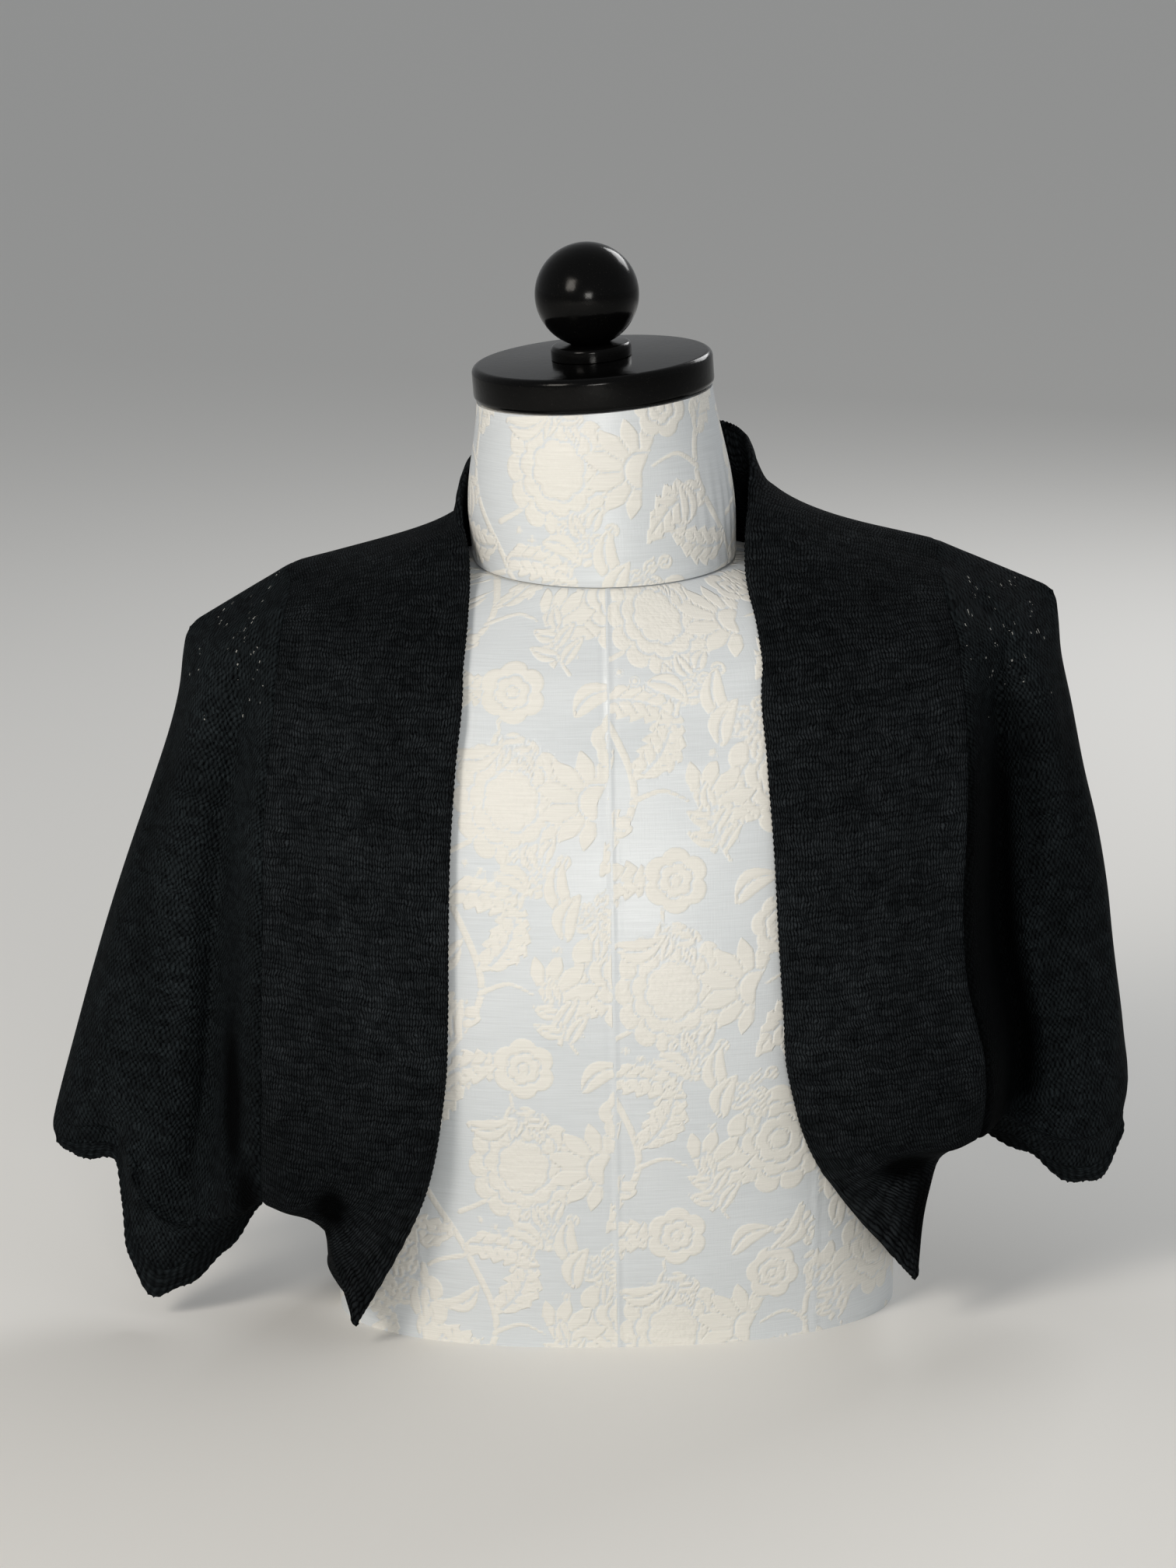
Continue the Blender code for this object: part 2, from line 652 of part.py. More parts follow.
def finial(finish, tilt):
    """A ball on a small turned foot, on the cap."""
    foot_top = CAP_THICK + FIT + FOOT_HEIGHT
    centre = foot_top + BALL_RADIUS - 1.5
    start = -math.degrees(math.acos(9.0 / BALL_RADIUS))
    profile = arc(0.0, centre, BALL_RADIUS, 90, start, 12)
    profile += arc(FOOT_RADIUS - 2.0, foot_top - 2.0, 2.0, 90, 0, 2)
    profile += [(FOOT_RADIUS, CAP_THICK + FIT), (0.0, CAP_THICK + FIT)]
    return turned("finial", profile, 28, finish, tilt)


def finish_of(name, colour, roughness):
    material = bpy.data.materials.new(name)
    material.use_nodes = True
    shader = material.node_tree.nodes["Principled BSDF"]
    shader.inputs["Base Color"].default_value = (*colour, 1.0)
    shader.inputs["Roughness"].default_value = roughness
    shader.inputs["Metallic"].default_value = 0.0
    material.diffuse_color = (*colour, 1.0)
    return material


for old in list(bpy.data.objects):
    bpy.data.objects.remove(old)
collection = bpy.data.collections.new("knitted_shrug_on_dress_form")
bpy.context.scene.collection.children.link(collection)

plain_knit = finish_of("black plain knit", (0.012, 0.012, 0.014), 0.9)
purl_knit = finish_of("black purl knit", (0.010, 0.011, 0.013), 0.9)
rib_knit = finish_of("black rib knit", (0.011, 0.011, 0.012), 0.9)
damask = finish_of("cream damask cover", (0.72, 0.72, 0.70), 0.6)
lacquer = finish_of("black lacquered wood", (0.008, 0.007, 0.007), 0.2)

cap_tilt = (Matrix.Translation(point((NECK_TOP - NECK_SEAM) * NECK_LEAN, -3.0, NECK_TOP))
            @ Matrix.Rotation(-CAP_ROLL, 4, "Y").inverted()
            @ Matrix.Rotation(CAP_PITCH, 4, "X"))

form_torso(damask)
form_neck(damask)
neck_cap(lacquer, cap_tilt)
finial(lacquer, cap_tilt)
band_stretch("front_band_right", 0, RIGHT_END, STEPS_PER_ROW, plain_knit)
band_stretch("lower_back_band", RIGHT_END, LEFT_END, CURVED_STEPS_PER_ROW, plain_knit)
band_stretch("front_band_left", LEFT_END, LEFT_TOP, STEPS_PER_ROW, plain_knit)
band_stretch("collar", LEFT_TOP, len(RING), CURVED_STEPS_PER_ROW, plain_knit)
sleeve_piece(-1, "sleeve_right", purl_knit)
sleeve_piece(1, "sleeve_left", purl_knit)
cuff_piece(-1, "cuff_right", rib_knit)
cuff_piece(1, "cuff_left", rib_knit)
back_piece(purl_knit)
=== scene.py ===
# %% [markdown]
# # A knitted shrug on a dress form
#
# The CAD frame holds the garment as thin faceted walls and the form as plain solids. This
# script dresses that frame: it lays a finer knit on the same shapes, with stitches, curled
# edges and creases, covers the form in a woven damask, and lacquers the turned wood.
#
# All lengths in the tables are millimetres, because that is how a knitter and a tailor
# measure. Blender works in metres, so one function at the end of each chain converts them.

# %% Load the frame
import math

import bmesh
import bpy
import numpy as np
from mathutils import Matrix, Vector


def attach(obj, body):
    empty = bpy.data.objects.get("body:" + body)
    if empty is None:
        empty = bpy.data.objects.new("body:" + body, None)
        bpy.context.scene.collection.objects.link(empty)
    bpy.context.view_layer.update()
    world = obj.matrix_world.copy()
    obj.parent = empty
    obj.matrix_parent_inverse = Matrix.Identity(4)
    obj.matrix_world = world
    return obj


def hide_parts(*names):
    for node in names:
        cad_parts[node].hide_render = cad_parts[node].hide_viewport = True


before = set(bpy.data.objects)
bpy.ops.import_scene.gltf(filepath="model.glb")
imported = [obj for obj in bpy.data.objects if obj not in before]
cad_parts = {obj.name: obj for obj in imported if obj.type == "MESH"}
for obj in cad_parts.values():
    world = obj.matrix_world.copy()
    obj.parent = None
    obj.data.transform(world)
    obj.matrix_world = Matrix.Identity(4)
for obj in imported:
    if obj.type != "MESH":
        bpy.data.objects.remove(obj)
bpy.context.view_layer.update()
MM = 0.001


# %% [markdown]
# ## The sizes behind the cloth
#
# A sewing pattern is a few measured sections. Each row below is one section across the
# garment or the form, and a smooth curve runs through the rows. They are the sections that
# the CAD walls were made from, so the fine knit lands on the walls without fitting.

# %% Sections of the form
SHOULDER_RING = 325.0
NECK_SEAM = 373.0
NECK_SEAM_SLOPE = 0.115
NECK_TOP = 452.0
NECK_LEAN = -0.045
CAP_ROLL = math.radians(-3.4)
CAP_PITCH = math.radians(3.8)
SECTION_POWER = 2.3
SHOULDER_POWER = 0.38
CLEAR = 5.2

# Height, right, left, front, back
TORSO = [
    (0, 138, 138, 84, 90),
    (40, 139, 139, 92, 90),
    (90, 143, 143, 102, 90),
    (140, 149, 150, 112, 92),
    (190, 154, 156, 116, 97),
    (240, 158, 162, 110, 101),
    (290, 169, 179, 97, 98),
    (SHOULDER_RING, 183, 195, 83, 88),
]

# Share of height, half_width, front, back
NECK = [
    (0, 63.5, 58, 66),
    (0.4, 64, 57, 65),
    (1, 56.8, 54, 60),
]

# %% Sections of the band
# free_across, free_out, free_up, seam_across, seam_out, seam_up, bow_out, bow_up, skew
FRONT_RIGHT = [
    (-67, -14, 412, -150, -6, 372, 0, -19, 0.33),
    (-64.5, 22, 386, -151, 22, 364, 4, 1, 0.5),
    (-64, 65, 353, -154, 46, 349, 8, 1, 0.75),
    (-67.5, 87, 319, -157, 65, 320, 8, 0, 0.75),
    (-71.5, 98, 284, -161, 74, 287, 8, 0, 0.75),
    (-74.5, 106, 248, -164, 80, 252, 8, 0, 0.75),
    (-76, 111, 211, -165, 84, 218, 8, 0, 0.75),
    (-77, 111, 173, -166, 86, 182, 9, 0, 0.75),
    (-80, 107, 130, -168, 86, 134, 12, 0, 0.75),
    (-92, 98, 76, -170, 82, 96, 14, 2, 0.75),
    (-125.5, 84, 14, -169, 76, 74, 8, 26, 0.75),
    (-127, 72, 17, -164, 34, 94, 4, 16, 0.75),
]
FRONT_LEFT = [
    (72, -14, 421, 158, -6, 378, 0, -14, 0.5),
    (67, 14, 396, 160, 16, 371, 4, 2, 0.5),
    (66.5, 61, 354, 163, 40, 353, 8, 1, 0.75),
    (70.5, 85, 318, 168, 58, 326, 8, 0, 0.75),
    (73.5, 98, 283, 170, 70, 290, 8, 0, 0.75),
    (76, 106, 247, 169, 78, 250, 8, 0, 0.75),
    (77.5, 111, 209, 167, 82, 212, 8, 0, 0.75),
    (79.5, 111, 171, 169, 84, 176, 9, 0, 0.75),
    (82, 107, 137, 177, 84, 138, 13, 0, 0.75),
    (97, 96, 90, 177, 80, 112, 14, 0, 0.75),
    (143, 78, 30, 172, 76, 101, 8, 33, 0.75),
    (142, 64, 34, 166, 34, 106, 4, 18, 0.75),
]
COLLAR = [
    (-55, -56, 423, -112, -66, 358, 5, -20, 0.35),
    (0, -80, 430, 0, -102, 342, 4, -6, 0.5),
    (60, -56, 430, 118, -66, 364, 6, -16, 0.4),
]
LOWER_BACK = [
    (137, 10, 24, 152, -12, 112, -1, 0, 0.75),
    (92, -76, 16, 100, -80, 114, -4, 0, 0.75),
    (0, -101, 13, 0, -104, 112, -5, 0, 0.75),
    (-92, -76, 14, -100, -80, 110, -4, 0, 0.75),
    (-137, 10, 18, -152, -12, 100, -1, 0, 0.75),
]
RING = FRONT_RIGHT + LOWER_BACK[::-1] + FRONT_LEFT[::-1] + COLLAR[::-1]
RIGHT_END = len(FRONT_RIGHT) - 1
LEFT_END = len(FRONT_RIGHT) + len(LOWER_BACK)
LEFT_TOP = LEFT_END + len(FRONT_LEFT) - 1

# %% Sections of the sleeves
# outer_across, outer_up, front_full, valley, back_across, back_out, back_up, back_full
SLEEVE_RIGHT = [
    (203.5, 341, 0, 0, 150, -7, 371.9, 0),
    (206, 327, 30, 0, 151, -34, 364, 28),
    (208.5, 310, 46, 1, 154, -56, 351, 40),
    (214, 290, 50, 3, 157, -70, 325, 44),
    (224, 262, 47, 8, 158, -74, 288, 42),
    (236, 230, 48, 10, 158, -70, 254, 40),
    (247, 199, 48, 12, 157, -62, 219, 38),
    (257, 168, 46, 16, 157, -50, 184, 36),
    (267, 135, 43, 20, 159, -30, 146, 33),
    (273, 115, 41, 20, 162, -4, 120, 31),
    (277, 101, 39, 12, 163, 16, 104, 29),
    (279, 93, 38, 4, 164.5, 33, 94, 27),
]
SLEEVE_LEFT = [
    (219, 351.5, 0, 0, 158, -7, 376.9, 0),
    (220.5, 336, 22, 3, 159, -34, 368, 24),
    (222, 319, 37, 3, 160, -56, 352, 36),
    (227, 295, 43, 8, 161, -70, 326, 42),
    (233, 264, 40, 17, 161, -74, 290, 42),
    (240, 234, 37, 26, 160, -70, 254, 40),
    (245, 204, 36, 30, 159, -62, 218, 38),
    (248, 174, 36, 34, 159, -50, 184, 36),
    (252, 144, 36, 34, 161, -30, 150, 34),
    (254, 126, 36, 28, 163, -4, 128, 32),
    (255.5, 114, 35, 14, 164.5, 16, 114, 30),
    (256, 105, 34, 4, 166.5, 33, 106, 28),
]
# Hem: share, across, out, up
HEM_RIGHT = [
    (0, 176, 12, 51),
    (0.12, 194, 24, 30),
    (0.26, 217, 31, 14),
    (0.36, 231, 31, 13.5),
    (0.48, 241, 27, 32),
    (0.62, 244, 19, 58),
    (0.74, 249, 8, 75),
    (0.88, 268, 4, 76.5),
    (1, 281, -7, 80.5),
]
HEM_LEFT = [
    (0, 182, 12, 83),
    (0.14, 190, 20, 80),
    (0.30, 203, 25, 76),
    (0.46, 215, 27, 66),
    (0.62, 228, 27, 60),
    (0.76, 239, 22, 61),
    (0.88, 248, 12, 70),
    (0.95, 253, 3, 80),
    (1, 254.5, -7, 87),
]
OUTER_FOLD_OUT = -8
FOLD_START = 0.42
HEM_DROP = 46
BACK_HEM_LIFT = 10
CUFF_DEPTH = 20
SLEEVE_LAST = len(SLEEVE_RIGHT) - 1
CUFF_START = SLEEVE_LAST + 1 - CUFF_DEPTH / HEM_DROP
DRAPE_START = SLEEVE_LAST - 3

# Depth of the middle of the back by its share of fall
BACK_MIDDLE = [
    (0, -102),
    (0.25, -107),
    (0.55, -107),
    (0.85, -109),
    (1, -104),
]
BACK_TOP = 342
BACK_LOW = 112
BACK_POWER = 2.6
BACK_EASE = 2.5


# %% [markdown]
# ## Curves through the sections
#
# A Catmull-Rom curve passes through every row of a table, which keeps the numbers easy to
# read: change a row and the cloth moves there. `off_form` is the tailor's rule that cloth
# can't go through the body: it pushes a point out until it clears the form.

# %% Curves and the form's surface
def catmull_rom(a, b, c, d, share):
    """A value between b and c on the smooth curve through all four."""
    return 0.5 * (2 * b + (c - a) * share + (2 * a - 5 * b + 4 * c - d) * share ** 2
                  + (3 * b - a - 3 * c + d) * share ** 3)


def spline(rows, place, closed=False):
    """Values of a table at a place between its rows, on a smooth curve through them."""
    count = len(rows)
    place = place % count if closed else min(max(place, 0.0), count - 1.0)
    first = min(int(place), count - 1 if closed else count - 2)
    share = place - first

    def row(index):
        return rows[index % count] if closed else rows[min(max(index, 0), count - 1)]

    around = (row(first + step) for step in (-1, 0, 1, 2))
    return [catmull_rom(a, b, c, d, share) for a, b, c, d in zip(*around)]


def table_at(rows, key):
    """Row of a table at a value of its first column."""
    if key <= rows[0][0]:
        return spline(rows, 0.0)
    for index in range(len(rows) - 1):
        low, high = rows[index][0], rows[index + 1][0]
        if key <= high:
            return spline(rows, index + (key - low) / (high - low))
    return spline(rows, len(rows) - 1.0)


def mix(a, b, share):
    return a + (b - a) * share


def smooth(share):
    share = min(max(share, 0.0), 1.0)
    return share * share * (3 - 2 * share)


def super_radius(half_width, depth, side, power):
    across = abs(side) / half_width
    along = math.sqrt(max(0.0, 1 - side * side)) / depth
    return (across ** power + along ** power) ** (-1 / power)


def neck_radius(side, front_share, share):
    width, front, back = table_at(NECK, share)[1:]
    return super_radius(width, front if front_share > 0 else back, side, 2.0)


def seam_height(side, front_share):
    return NECK_SEAM - NECK_SEAM_SLOPE * front_share * neck_radius(side, front_share, 0.0)


def form_radius(side, front_share, up):
    """Radius of the form at a height; side and front_share give the direction."""
    if up <= SHOULDER_RING:
        right, left, front, back = table_at(TORSO, up)[1:]
        return super_radius(left if side > 0 else right, front if front_share > 0 else back,
                            side, SECTION_POWER)
    seam = seam_height(side, front_share)
    if up >= seam:
        return neck_radius(side, front_share, (up - seam) / (NECK_TOP - NECK_SEAM))
    power = mix(1.0, SHOULDER_POWER, side * side)
    inward = ((up - SHOULDER_RING) / (seam - SHOULDER_RING)) ** (1 / power)
    return mix(form_radius(side, front_share, SHOULDER_RING),
               neck_radius(side, front_share, 0.0), inward)


def off_form(across, out, up, clear=CLEAR):
    """Push a point of the knit out until it clears the form."""
    radius = math.hypot(across, out)
    if radius < 1.0:
        return across, out, up
    least = form_radius(across / radius, out / radius, up - 0.6 * clear) + clear
    scale = 0.5 * (radius + least + math.hypot(radius - least, 2.0)) / radius
    return across * scale, out * scale, up


# %% The garment's surface
def band_point(place, share):
    """A point of the band: place along the ring, share from free edge to seam."""
    row = spline(RING, place, closed=True)
    bow = math.sin(math.pi * min(max(share, 0.0), 1.0) ** row[8])
    return off_form(mix(row[0], row[3], share), mix(row[1], row[4], share) + row[6] * bow,
                    mix(row[2], row[5], share) + row[7] * bow)


def sleeve_section(side, place, share, front):
    """A point of a sleeve's front or back wall, share from its inner edge outwards."""
    row = spline(SLEEVE_RIGHT if side < 0 else SLEEVE_LEFT, place)
    outer_across, outer_up, front_full, valley, back_across, back_out, back_up, back_full = row
    turn = max(0.0, (share - FOLD_START) / (1 - FOLD_START))
    rounding = math.sqrt(max(0.0, 1 - turn * turn))
    inner = min(share / FOLD_START, 1.0)
    if front:
        start = band_point(place if side < 0 else LEFT_TOP - place, 1.0)
        full = OUTER_FOLD_OUT + front_full * rounding
        dip = valley * math.sin(math.pi * inner ** 1.5) ** 2
    else:
        start = (back_across, back_out, back_up)
        full = OUTER_FOLD_OUT - back_full * rounding
        dip = 0.0
    return (mix(abs(start[0]), outer_across, share),
            mix(start[1], full, smooth(inner)) - dip, mix(start[2], outer_up, share))


def hem_point(side, share, front):
    """A point of a sleeve's hem; its back hangs nearly straight from edge to edge."""
    rows = HEM_RIGHT if side < 0 else HEM_LEFT
    across, out, up = table_at(rows, share)[1:]
    if front:
        return across, out, up
    across = mix(across, mix(rows[0][1], rows[-1][1], share), 0.85)
    up = mix(up, mix(rows[0][3], rows[-1][3], share), 0.85)
    out = 2 * OUTER_FOLD_OUT - 0.85 * out + 20.0 * (1 - share) ** 2
    return across, out, up + BACK_HEM_LIFT * math.sin(math.pi * share)


def sleeve_point(side, place, share, front):
    """Place runs along the sleeve: the table's rows, then one step to the hem."""
    past = max(0.0, place - SLEEVE_LAST)
    drape_share = smooth((place - DRAPE_START) / (SLEEVE_LAST + 1 - DRAPE_START))
    spot = sleeve_section(side, min(place, SLEEVE_LAST), share, front)
    if drape_share > 0:
        last = sleeve_section(side, SLEEVE_LAST, share, front)
        inner, outer = (sleeve_section(side, SLEEVE_LAST, end, front) for end in (0.0, 1.0))
        hem, hem_inner, hem_outer = (hem_point(side, at, front) for at in (share, 0.0, 1.0))
        moved = []
        for axis in range(3):
            shift = mix(hem_inner[axis] - inner[axis], hem_outer[axis] - outer[axis], share)
            moved.append(spot[axis] + past * shift
                         + drape_share * (hem[axis] - last[axis] - shift))
        spot = moved
    return off_form(spot[0] * side, spot[1], spot[2])


def plain_back(share, fall):
    """A section across the back, before it is fitted to the band's seams."""
    right = sleeve_point(-1, fall * SLEEVE_LAST, 0.0, False)
    left = sleeve_point(1, fall * SLEEVE_LAST, 0.0, False)
    edge_top, edge_low = SLEEVE_RIGHT[0][6], SLEEVE_RIGHT[-1][6]
    down = (edge_top - spline(SLEEVE_RIGHT, fall * SLEEVE_LAST)[6]) / (edge_top - edge_low)
    round_off = (1 - abs(2 * share - 1) ** BACK_POWER) ** (1 / BACK_POWER)
    return (mix(right[0], left[0], share),
            mix(mix(right[1], left[1], share), table_at(BACK_MIDDLE, down)[1], round_off),
            mix(mix(right[2], left[2], share), mix(BACK_TOP, BACK_LOW, down),
                smooth(round_off)))


def back_point(share, fall):
    """A point of the back: share from the right sleeve to the left, fall from the collar."""
    collar = band_point(len(RING) - share * (len(COLLAR) + 1), 1.0)
    lower = band_point(mix(RIGHT_END, LEFT_END, share), 1.0)
    values = []
    for base, top, plain_top, low, plain_low in zip(plain_back(share, fall), collar,
                                                    plain_back(share, 0.0), lower,
                                                    plain_back(share, 1.0)):
        values.append(base + (top - plain_top) * (1 - fall) ** 2
                      + (low - plain_low) * fall ** 3)
    inner = math.sin(math.pi * share) * math.sin(math.pi * fall)
    return off_form(*values, clear=CLEAR + BACK_EASE * inner ** 0.5)


print("band ring rows", len(RING), "sleeve rows", len(SLEEVE_RIGHT))


# %% [markdown]
# ## From a coarse net to a fine cloth
#
# Asking those functions for a hundred thousand points would be slow. A cloth has no sharp
# shapes between its sections, so a coarse net of points is enough, and NumPy draws the
# same kind of smooth curve through the net for the fine grid. The fine grid is not even:
# its columns crowd at an edge, where the knit curls, and are wide in the middle.

# %% Coarse nets and fine grids
FINE_EDGE, FINE_FADE = 7.0, 18.0


def net(columns, rows, place_of):
    """Points of a surface on a coarse net, as an array of rows by columns by three."""
    points = [[place_of(u / columns, v / rows) for u in range(columns + 1)]
              for v in range(rows + 1)]
    return np.array(points, float)


def refined(points, shares, axis):
    """Points of a net at finer shares along one axis, on smooth curves through it."""
    points = np.moveaxis(points, axis, 0)
    points = np.concatenate([2 * points[:1] - points[1:2], points,
                             2 * points[-1:] - points[-2:-1]])
    place = np.asarray(shares) * (len(points) - 3)
    first = np.clip(np.floor(place).astype(int), 0, len(points) - 4)
    share = (place - first).reshape((-1,) + (1,) * (points.ndim - 1))
    a, b, c, d = (points[first + step] for step in range(4))
    return np.moveaxis(catmull_rom(a, b, c, d, share), 0, axis)


def crowded(length, fine, coarse, start=True):
    """Shares along a length in millimetres, fine near its ends, coarse between."""
    at = [0.0]
    while at[-1] < length:
        edge = min(at[-1] if start else length, length - at[-1])
        at.append(at[-1] + mix(fine, coarse, smooth((edge - FINE_EDGE) / FINE_FADE)))
    return np.array(at) / at[-1]


def fine_grid(coarse, rows, columns):
    """A coarse net refined to rows and columns: their shares, or how many if even."""
    rows, columns = (np.linspace(0, 1, shares) if isinstance(shares, int) else shares
                     for shares in (rows, columns))
    return refined(refined(coarse, rows, 0), columns, 1)


def lengths(points, axis):
    """Running length along one axis of a grid of points."""
    steps = np.linalg.norm(np.diff(points, axis=axis), axis=2)
    start = np.zeros_like(np.take(steps, [0], axis=axis))
    return np.concatenate([start, np.cumsum(steps, axis=axis)], axis=axis)


def normals_of(points, centre):
    """Unit normals of a grid of points, turned away from the centre."""
    normal = np.cross(np.gradient(points, axis=1), np.gradient(points, axis=0))
    normal /= np.maximum(np.linalg.norm(normal, axis=2, keepdims=True), 1e-9)
    if np.sum(normal * (points - np.array(centre))) < 0:
        normal = -normal
    return normal


# %% [markdown]
# ## A sheet of knit
#
# Real knit is a wall of yarn loops about 2.2 mm thick. Its cast-on and cast-off edges are
# knobbly, one knob for each stitch, and they curl inwards. Where two pieces are sewn, the
# seam draws both down into a shallow groove. Modelling each loop would take millions of
# faces, so the sheet is one smooth wall: knobs, curl, grooves and creases move its points,
# and the loops are left to the material, which reads the sheet's own UV map. That map is
# in metres of cloth, so a stitch keeps its real size on every piece.

# %% Make a mesh from a grid
KNIT = 2.2                            # thickness of the wall
KNOB = 3.0                            # one knob to a stitch along a free edge
KNOB_OUT, KNOB_REACH = 0.55, 1.2
CURL, CURL_REACH = 1.3, 1.3           # how far a free edge turns in
ROLL, ROLL_AT, ROLL_REACH = 0.55, 3.4, 1.8
GROOVE, GROOVE_REACH = 0.75, 1.6      # where two pieces are sewn
HEART = (0, 0, 200)                   # a point inside the form


def raised(points, centre, relief):
    """Points moved by their relief along their normals, away from the centre."""
    return points + normals_of(points, centre) * relief[..., None]


def grid_object(name, points, cloth, material, attributes):
    """A smooth mesh from a grid of points, with their places on the flat cloth as its UVs."""
    rows, columns = points.shape[0] - 1, points.shape[1] - 1
    bm = bmesh.new()
    bmesh.ops.create_grid(bm, x_segments=columns, y_segments=rows, size=0.5)
    order = np.empty(len(bm.verts), int)
    for index, vertex in enumerate(bm.verts):
        column = round((vertex.co.x + 0.5) * columns)
        row = round((vertex.co.y + 0.5) * rows)
        order[index] = row * (columns + 1) + column
    flat = points.reshape(-1, 3) * (MM, -MM, MM)
    for index, vertex in enumerate(bm.verts):
        vertex.co = flat[order[index]]
    mesh = bpy.data.meshes.new(name)
    bm.to_mesh(mesh)
    bm.free()
    for key, values in attributes.items():
        layer = mesh.attributes.new(key, "FLOAT", "POINT")
        layer.data.foreach_set("value", values.reshape(-1)[order].astype(np.float32))
    corner = np.empty(len(mesh.loops), np.int32)
    mesh.loops.foreach_get("vertex_index", corner)
    pairs = (cloth * MM).reshape(-1, 2)[order][corner]
    layer = mesh.uv_layers.new(name="cloth")
    layer.data.foreach_set("uv", pairs.astype(np.float32).reshape(-1))
    return new_object(name, mesh, material)


# %% Put pieces in the scene
def new_object(name, mesh, material):
    """An object at the origin, smooth and of one material."""
    mesh.shade_smooth()
    mesh.materials.append(material)
    thing = bpy.data.objects.new(name, mesh)
    bpy.context.scene.collection.objects.link(thing)
    return thing


def stand_for(thing, node):
    """Let a finished piece stand for a node of the frame: hang it on the root and hide the node.
    """
    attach(thing, "root")
    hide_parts(node)
    print(thing.name, "faces", len(thing.data.polygons))


# %% Creases and walls of knit
def creased(points, centre, cloth, creases):
    """Points pushed into soft creases, and the painted shade that darkens the points in a trough.

    cloth holds each point's place on the flat cloth. A crease is its two ends there, its
    width and its height, below zero for a trough.
    """
    relief = np.zeros(points.shape[:2])
    painted_shade = np.zeros(points.shape[:2])
    for u0, v0, u1, v1, width, height in creases:
        along = np.array((u1 - u0, v1 - v0), float)
        size = np.linalg.norm(along)
        to_point = cloth - np.array((u0, v0))
        share = to_point @ along / size ** 2
        bend = 0.05 * size * np.sin(np.pi * np.clip(share, 0, 1) * 1.4)
        aside = (to_point[..., 0] * along[1] - to_point[..., 1] * along[0]) / size - bend
        fade = np.clip(1.2 - np.abs(2 * share - 1) ** 2, 0, 1) ** 0.8
        across = np.exp(-(aside / width) ** 2) * fade
        relief += height * across
        painted_shade = np.maximum(painted_shade, np.clip(-height / 5.0, 0, 1) * across)
    return raised(points, centre, relief), painted_shade


def sheet_of_knit(name, node, points, cloth, edges, centre, slot, attributes, calm=1.0):
    """A wall of knit on a grid; edges says which of its sides are free or sewn.

    Where calm is 0, the edges have neither curl nor knobs.
    """
    across, down = lengths(points, 1), lengths(points, 0)
    away = {"left": across, "right": across[:, -1:] - across,
            "low": down, "high": down[-1:] - down}
    beside = {"left": down, "right": down, "low": across, "high": across}
    relief = np.zeros(points.shape[:2])
    pushed = np.zeros_like(points)
    tangent = {"left": -np.gradient(points, axis=1), "right": np.gradient(points, axis=1),
               "low": -np.gradient(points, axis=0), "high": np.gradient(points, axis=0)}
    for side, kind in edges.items():
        distance = away[side]
        if kind == "sewn":
            relief -= GROOVE * np.exp(-(distance / GROOVE_REACH) ** 2)
        if kind == "free":
            relief += ROLL * np.exp(-((distance - ROLL_AT) / ROLL_REACH) ** 2)
            relief -= CURL * np.exp(-(distance / CURL_REACH) ** 2)
            knob = 0.5 + 0.5 * np.cos(2 * np.pi * beside[side] / KNOB)
            out = tangent[side] / np.maximum(
                np.linalg.norm(tangent[side], axis=2, keepdims=True), 1e-9)
            knob = KNOB_OUT * knob * np.exp(-(distance / KNOB_REACH) ** 2)
            pushed += out * knob[..., None]
    calm = np.broadcast_to(calm, relief.shape)
    points = raised(points, centre, relief * calm) + pushed * calm[..., None]
    thing = grid_object(name, points, cloth, KNITS[slot], attributes)
    bm = bmesh.new()
    bm.from_mesh(thing.data)
    bmesh.ops.remove_doubles(bm, verts=bm.verts, dist=0.00002)
    bm.normal_update()
    heart = Vector((centre[0], -centre[1], centre[2])) * MM
    outward = sum(face.normal.dot(face.calc_center_median() - heart) * face.calc_area()
                  for face in bm.faces)
    if outward < 0:
        bmesh.ops.reverse_faces(bm, faces=bm.faces)
    bm.to_mesh(thing.data)
    bm.free()
    wall = thing.modifiers.new("wall of yarn", "SOLIDIFY")
    wall.thickness = KNIT * MM
    wall.offset = -1.0
    stand_for(thing, node)
    return thing


# %% [markdown]
# ## Colours and nodes
#
# Colours are written as sRGB hex values, as a dyer's card would give them, and one
# function turns them to the linear values that Blender computes with. Each material comes
# with one function, `add`, that adds any node to it: its settings go on the node, its
# inputs are set or linked, and the output that is wanted comes back.

# %% Helpers for materials
def colour(code):
    """Linear colour from an sRGB hex value."""
    parts = [int(code[i:i + 2], 16) / 255 for i in (1, 3, 5)]
    return tuple(p / 12.92 if p <= 0.04045 else ((p + 0.055) / 1.055) ** 2.4
                 for p in parts) + (1.0,)


def fill(node, inputs):
    """Set or link the inputs of a node, by name or in order."""
    for key, value in inputs.items() if isinstance(inputs, dict) else enumerate(inputs):
        if isinstance(value, bpy.types.NodeSocket):
            node.id_data.links.new(value, node.inputs[key])
        else:
            node.inputs[key].default_value = value


def new_material(name, preview):
    """An empty material, the function that adds a node to it, and its shader."""
    material = bpy.data.materials.new(name)
    material.use_nodes = True
    material.diffuse_color = colour(preview)
    nodes = material.node_tree.nodes

    def add(kind, inputs=(), output=0, **settings):
        """Add a node and return one of its outputs; kind may end in an operation."""
        kind, _, operation = kind.partition(" ")
        made = nodes.new("ShaderNode" + kind)
        if operation:
            made.operation = operation
        for key, value in settings.items():
            setattr(made, key, value)
        fill(made, inputs)
        return made.outputs[output]

    return material, add, nodes["Principled BSDF"]


